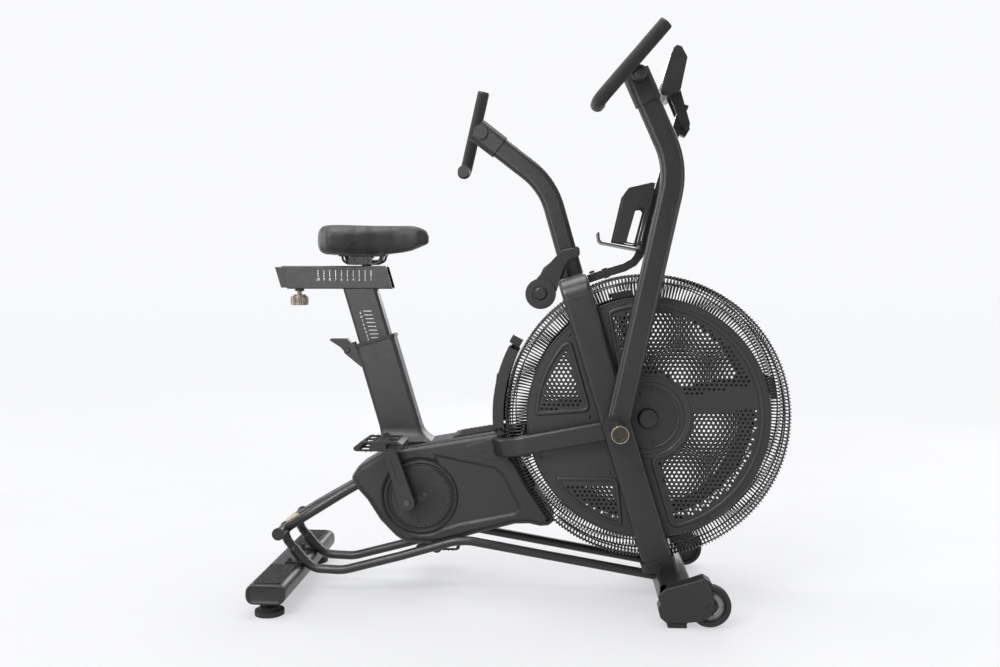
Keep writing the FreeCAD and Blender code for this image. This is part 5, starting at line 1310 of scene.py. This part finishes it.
for s, body in ((-1, "right_wheel"), (1, "left_wheel")):
    V, F = [], []
    ring(V, F, 40.0, 260.3 * s, 1.2, rb=1.8, n=72, cx=444, cz=53)
    ring(V, F, 33.0, 260.2 * s, 0.9, rb=1.2, n=72, cx=444, cz=53)
    for k in range(60):
        a = math.tau * k / 60
        ca, sa = math.cos(a), math.sin(a)
        tube_geo(V, F, [(444 + 49.4 * ca, s * 242.0, 53 + 49.4 * sa), (444 + 49.4 * ca, s * 256.5, 53 + 49.4 * sa)], (ca, 0, sa), 0.45, 0.8, 6)
    build(("right" if s < 0 else "left") + "_wheel_tread", V, F, "wheel_rubber", body)
    V, F = [], []
    prof = [(18.2, 256.1), (18.6, 256.9), (24.0, 257.2), (34.0, 257.4), (35.6, 257.0), (35.9, 256.2)]
    b0 = 0
    for r, y in prof:
        for q in range(72):
            a = math.tau * q / 72
            V.append((444 + r * math.cos(a), y * s, 53 + r * math.sin(a)))
    for r in range(len(prof)):
        r2 = (r + 1) % len(prof)
        for q in range(72):
            q2 = (q + 1) % 72
            F.append((r * 72 + q, r * 72 + q2, r2 * 72 + q2, r2 * 72 + q))
    for q in range(5):
        a = math.tau * q / 5
        ca, sa = math.cos(a), math.sin(a)
        tube_geo(V, F, [(444 + 20.0 * ca, s * 257.2, 53 + 20.0 * sa), (444 + 34.0 * ca, s * 257.4, 53 + 34.0 * sa)], (0, 1, 0), 1.6, 1.4, 8)
    build(("right" if s < 0 else "left") + "_wheel_disc", V, F, "wheel_rubber", body, mat="steel_grey")

# ---------------------------------------------------------------- tube ends, caps and pads at the rear
V, F = [], []
for s in (-1, 1):
    path = dense(round_path([Vector((-617.0, 66.0 * s, 139.0)), Vector((-621.5, 67.0 * s, 150.0)), Vector((-625.5, 68.0 * s, 166.0))], [20.0], 4), 4.0)
    sweep_geo(V, F, path, lambda l, t, a: 11.5, 24)
build("lower_tube_ends", V, F, "frame_black", "frame")
V, F = [], []


def rr_loop(cx, cz, w, d, r, n=6):
    return fillet([(cx - w / 2, cz - d / 2), (cx + w / 2, cz - d / 2), (cx + w / 2, cz + d / 2), (cx - w / 2, cz + d / 2)], r, True, n)


def rows_geo(V, F, rows, close0=True, close1=True):
    nb = len(rows[0])
    b0 = len(V)
    for row in rows:
        V.extend(row)
    for r in range(len(rows) - 1):
        for i in range(nb):
            i2 = (i + 1) % nb
            F.append((b0 + r * nb + i, b0 + r * nb + i2, b0 + (r + 1) * nb + i2, b0 + (r + 1) * nb + i))
    if close0:
        F.append(tuple(b0 + i for i in range(nb)))
    if close1:
        F.append(tuple(b0 + (len(rows) - 1) * nb + i for i in range(nb)))


def carried(node, drop):
    """The faces of one CAD node as they are, without those that a finer piece stands in for."""
    V, F, idx = [], [], {}
    src = NODES[node]
    co = [tuple(c / MM for c in (src.matrix_world @ v.co)) for v in src.data.vertices]
    for p in src.data.polygons:
        if any(drop(*co[i]) for i in p.vertices):
            continue
        for i in p.vertices:
            if i not in idx:
                idx[i] = len(V)
                V.append(co[i])
        F.append(tuple(idx[i] for i in p.vertices))
    return V, F


st = rr_loop(-620.0, 58.0, 98.0, 50.0, 24.6, 14)
V, F = carried("stabilizers", lambda x, y, z: x < 0)
rows_geo(V, F, [[(x, y, z) for x, z in st] for y in (-247.9, 247.9)])
ob = build("stabilizer_tubes", V, F, SLOT_OF["stabilizers"], "frame", replaces=("stabilizers",))
sharp(ob, 35)
V, F = carried("tube_end_caps", lambda x, y, z: x < -560 and abs(y) > 200)
for s in (-1, 1):
    rows = []
    for off, y in ((0.9, 248.0), (0.0, 248.8), (0.0, 256.2), (0.6, 258.3), (2.0, 259.6), (3.8, 259.9), (6.4, 259.6), (7.4, 258.6), (8.0, 257.4), (9.2, 257.0)):
        rows.append([(x, y * s, z) for x, z in inset_loop(st, off)])
    rows_geo(V, F, rows)
ob = build("stabilizer_caps", V, F, SLOT_OF["tube_end_caps"], "frame", replaces=("tube_end_caps",))
sharp(ob, 40)
V, F = carried("stabilizer_brackets", lambda x, y, z: x < -500)
for s in (-1, 1):
    path = [Vector((-603.5, 66.0 * s, 122.2)), Vector((-583.0, 66.0 * s, 96.4)), Vector((-572.0, 66.0 * s, 84.6))]
    sweep_geo(V, F, dense(path, 3.0), lambda l, t, a: 13.6 if min(l, t - l) > 2.5 else 12.4, 28)
    prism_geo(V, F, [(x, z) for x, z in ((-622.0, 82.9), (-578.0, 82.9), (-578.0, 86.6), (-580.0, 88.0), (-620.0, 88.0), (-622.0, 86.6))], 52.0 * s, 80.0 * s)
ob = build("stabilizer_mounts", V, F, SLOT_OF["stabilizer_brackets"], "frame", replaces=("stabilizer_brackets",))
sharp(ob, 35)
V, F = carried("fasteners", lambda x, y, z: -600 < x < -570 and 110 < z < 122)
for s in (-1, 1):
    for x in (-614.0,):
        rows = []
        for rr, z in ((7.2, 87.8), (7.2, 89.4), (6.0, 89.6)):
            rows.append([(x + rr * math.cos(math.tau * q / 28), 66.0 * s + rr * math.sin(math.tau * q / 28), z) for q in range(28)])
        rows_geo(V, F, rows)
        rows = []
        for rr, z in ((5.2, 89.4), (5.2, 93.2), (4.2, 94.0)):
            rows.append([(x + rr * math.cos(math.tau * q / 6), 66.0 * s + rr * math.sin(math.tau * q / 6), z) for q in range(6)])
        rows_geo(V, F, rows)
ob = build("all_fasteners", V, F, SLOT_OF["fasteners"], "frame", replaces=("fasteners",))
sharp(ob, 35)
V, F = [], []
for s in (-1, 1):
    for y0, y1 in ((97.0, 247.0),):
        rows = []
        for off, z in ((0.0, 82.9), (0.0, 85.2), (1.2, 86.3)):
            lp_ = inset_loop(fillet([(-653.0, y0 * s), (-587.0, y0 * s), (-587.0, y1 * s), (-653.0, y1 * s)], 7, True, 5), off)
            rows.append([(x, y, z) for x, y in lp_])
        nb = len(rows[0])
        b0 = len(V)
        for row in rows:
            V.extend(row)
        for r in range(2):
            for i in range(nb):
                i2 = (i + 1) % nb
                F.append((b0 + r * nb + i, b0 + r * nb + i2, b0 + (r + 1) * nb + i2, b0 + (r + 1) * nb + i))
        F.append(tuple(b0 + i for i in range(nb)))
        F.append(tuple(b0 + 2 * nb + i for i in range(nb)))
build("step_mats", V, F, "grip_rubber", "frame", smooth=False)
V, F = [], []
sweep_geo(V, F, dense([Vector((-627.0, -49.0, 170.0)), Vector((-627.0, 49.0, 170.0))], 4.0), lambda l, t, a: 15.8 * (1.0 if min(l, t - l) > 3 else 0.93) + 0.12 * math.sin(l * 1.6), 28)
build("carry_grip", V, F, "grip_rubber", "frame", mat="bar_grip")

# flared foot of the mast, down into the shroud's top
V, F = [], []
rows = []
TM = math.tan(math.radians(16.3))
for t in range(13):
    q = t / 12
    z = 434.0 - 34.0 * q
    g = q ** 2.0
    cxm = -392.0 + (656.0 - z) * TM
    x0, x1 = cxm - 55.2 - 6.0 * g, cxm + 55.2 + 20.0 * g
    hd = 30.8 + 16.0 * g
    rows.append([(x, y, z) for x, y in fillet([(x0, -hd), (x1, -hd), (x1, hd), (x0, hd)], 11 + 6 * g, True, 6)])
nb = len(rows[0])
for row in rows:
    V.extend(row)
for r in range(len(rows) - 1):
    for i in range(nb):
        i2 = (i + 1) % nb
        F.append((r * nb + i, r * nb + i2, (r + 1) * nb + i2, (r + 1) * nb + i))
build("mast_flare", V, F, "shroud_plastic", "frame", smooth=True)

# saddle pan between the cushion and its rails
V, F = [], []
rows = []
for q in range(7):
    t = q / 6
    z = 879.5 + 20.0 * t
    g = 8.0 * t
    rows.append([(x, y, z) for x, y in fillet([(-486 - g, -29 - g), (-364 + g * 0.5, -26 - g * 0.6), (-364 + g * 0.5, 26 + g * 0.6), (-486 - g, 29 + g)], 10, True, 5)])
nb = len(rows[0])
for row in rows:
    V.extend(row)
for r in range(6):
    for i in range(nb):
        i2 = (i + 1) % nb
        F.append((r * nb + i, r * nb + i2, (r + 1) * nb + i2, (r + 1) * nb + i))
F.append(tuple(range(nb)))
F.append(tuple(6 * nb + i for i in range(nb)))
build("saddle_pan", V, F, "plastic_black", "saddle", smooth=False)
V, F = [], []
for s in (-1, 1):
    for y, ins in ((22.0, 0.0), (13.0, 7.0)):
        pts = [Vector((-477.0 + ins, y * s, 884.0)), Vector((-475.0 + ins, y * s, 868.0)), Vector((-462.0 + ins, y * s, 860.8 + ins * 0.9)),
               Vector((-388.0 - ins, y * s, 860.8 + ins * 0.9)), Vector((-373.0 - ins, y * s, 868.0)), Vector((-368.0 - ins, y * s, 884.0))]
        sweep_geo(V, F, round_path(pts, [14, 10, 10, 14], 6), lambda l, t, a: 3.2, 14)
build("saddle_rail_loops", V, F, "bolt_black", "saddle")
V, F = [], []
prism_geo(V, F, fillet([(-459, 858.5), (-402, 858.5), (-396, 868), (-399, 879), (-456, 879), (-462, 868)], 4), -25.0, 25.0)
prism_geo(V, F, circ(-448.0, 868.0, 5.0, 6, 0.3), -29.0, 29.0)
prism_geo(V, F, circ(-412.0, 868.0, 5.0, 6, 0.3), -29.0, 29.0)
lo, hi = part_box("saddle_clamp")
z0 = lo[2] / MM
for r0, za, zb in ((11.9, z0, 862.0), (14.5, 849.0, 856.0)):
    b0 = len(V)
    for z in (za, zb):
        for k in range(32):
            a = math.tau * k / 32
            V.append((-417.0 + r0 * math.cos(a), r0 * math.sin(a), z))
    for k in range(32):
        k2 = (k + 1) % 32
        F.append((b0 + k, b0 + k2, b0 + 32 + k2, b0 + 32 + k))
    F.append(tuple(b0 + k for k in range(32)))
    F.append(tuple(b0 + 32 + k for k in range(32)))
build("saddle_clamp_block", V, F, "bracket_black", "saddle", smooth=False, replaces=("saddle_clamp",))

# ---------------------------------------------------------------- floor
V, F = [], []
me = bpy.data.meshes.new("floor")
bm = bmesh.new()
bmesh.ops.create_grid(bm, x_segments=8, y_segments=8, size=60.0)
bm.to_mesh(me)
bm.free()
for p in me.polygons:
    p.use_smooth = True
floor = bpy.data.objects.new("floor", me)
SC.collection.objects.link(floor)
FLOOR_TONE, FLOOR_GAIN = 0.824, 0.220
k = Mat("floor")
k.b.inputs["Specular IOR Level"].default_value = 0.12
c = k.mix(k.remap(k.noise(0.6, 3.0), 0.3, 0.7, 0.0, 1.0), (0.200, 0.200, 0.203), (0.215, 0.215, 0.218))
k.link(c, k.b.inputs["Base Color"])
k.b.inputs["Emission Color"].default_value = (0.975, 0.980, 1.0, 1.0)
# the floor glows a little, less where the lamps reach it, so that it stays one even tone right out to the
# surround and only the object's own soft shadow shows on it
obj = k.n("ShaderNodeTexCoord").outputs["Object"]
lit = None
for loc, aim, power in LAMPS:
    sub = k.n("ShaderNodeVectorMath", operation="SUBTRACT")
    k.link(obj, sub.inputs[0])
    sub.inputs[1].default_value = loc
    dot = k.n("ShaderNodeVectorMath", operation="DOT_PRODUCT")
    k.link(sub.outputs[0], dot.inputs[0])
    dot.inputs[1].default_value = aim
    ln = k.n("ShaderNodeVectorMath", operation="LENGTH")
    k.link(sub.outputs[0], ln.inputs[0])
    e = k.math("DIVIDE", k.math("MAXIMUM", dot.outputs["Value"], 0.0), k.math("POWER", ln.outputs["Value"], 4.0))
    e = k.math("MULTIPLY", e, power * 0.25 * loc.z / math.pi)
    lit = e if lit is None else k.math("ADD", lit, e)
glow = k.math("SUBTRACT", FLOOR_TONE, k.math("MULTIPLY", lit, FLOOR_GAIN))
k.link(k.math("MAXIMUM", glow, 0.0), k.b.inputs["Emission Strength"])
k.link(k.remap(k.noise(3.0, 3.0), 0.3, 0.7, 0.62, 0.72), k.b.inputs["Roughness"])
me.materials.append(k.m)
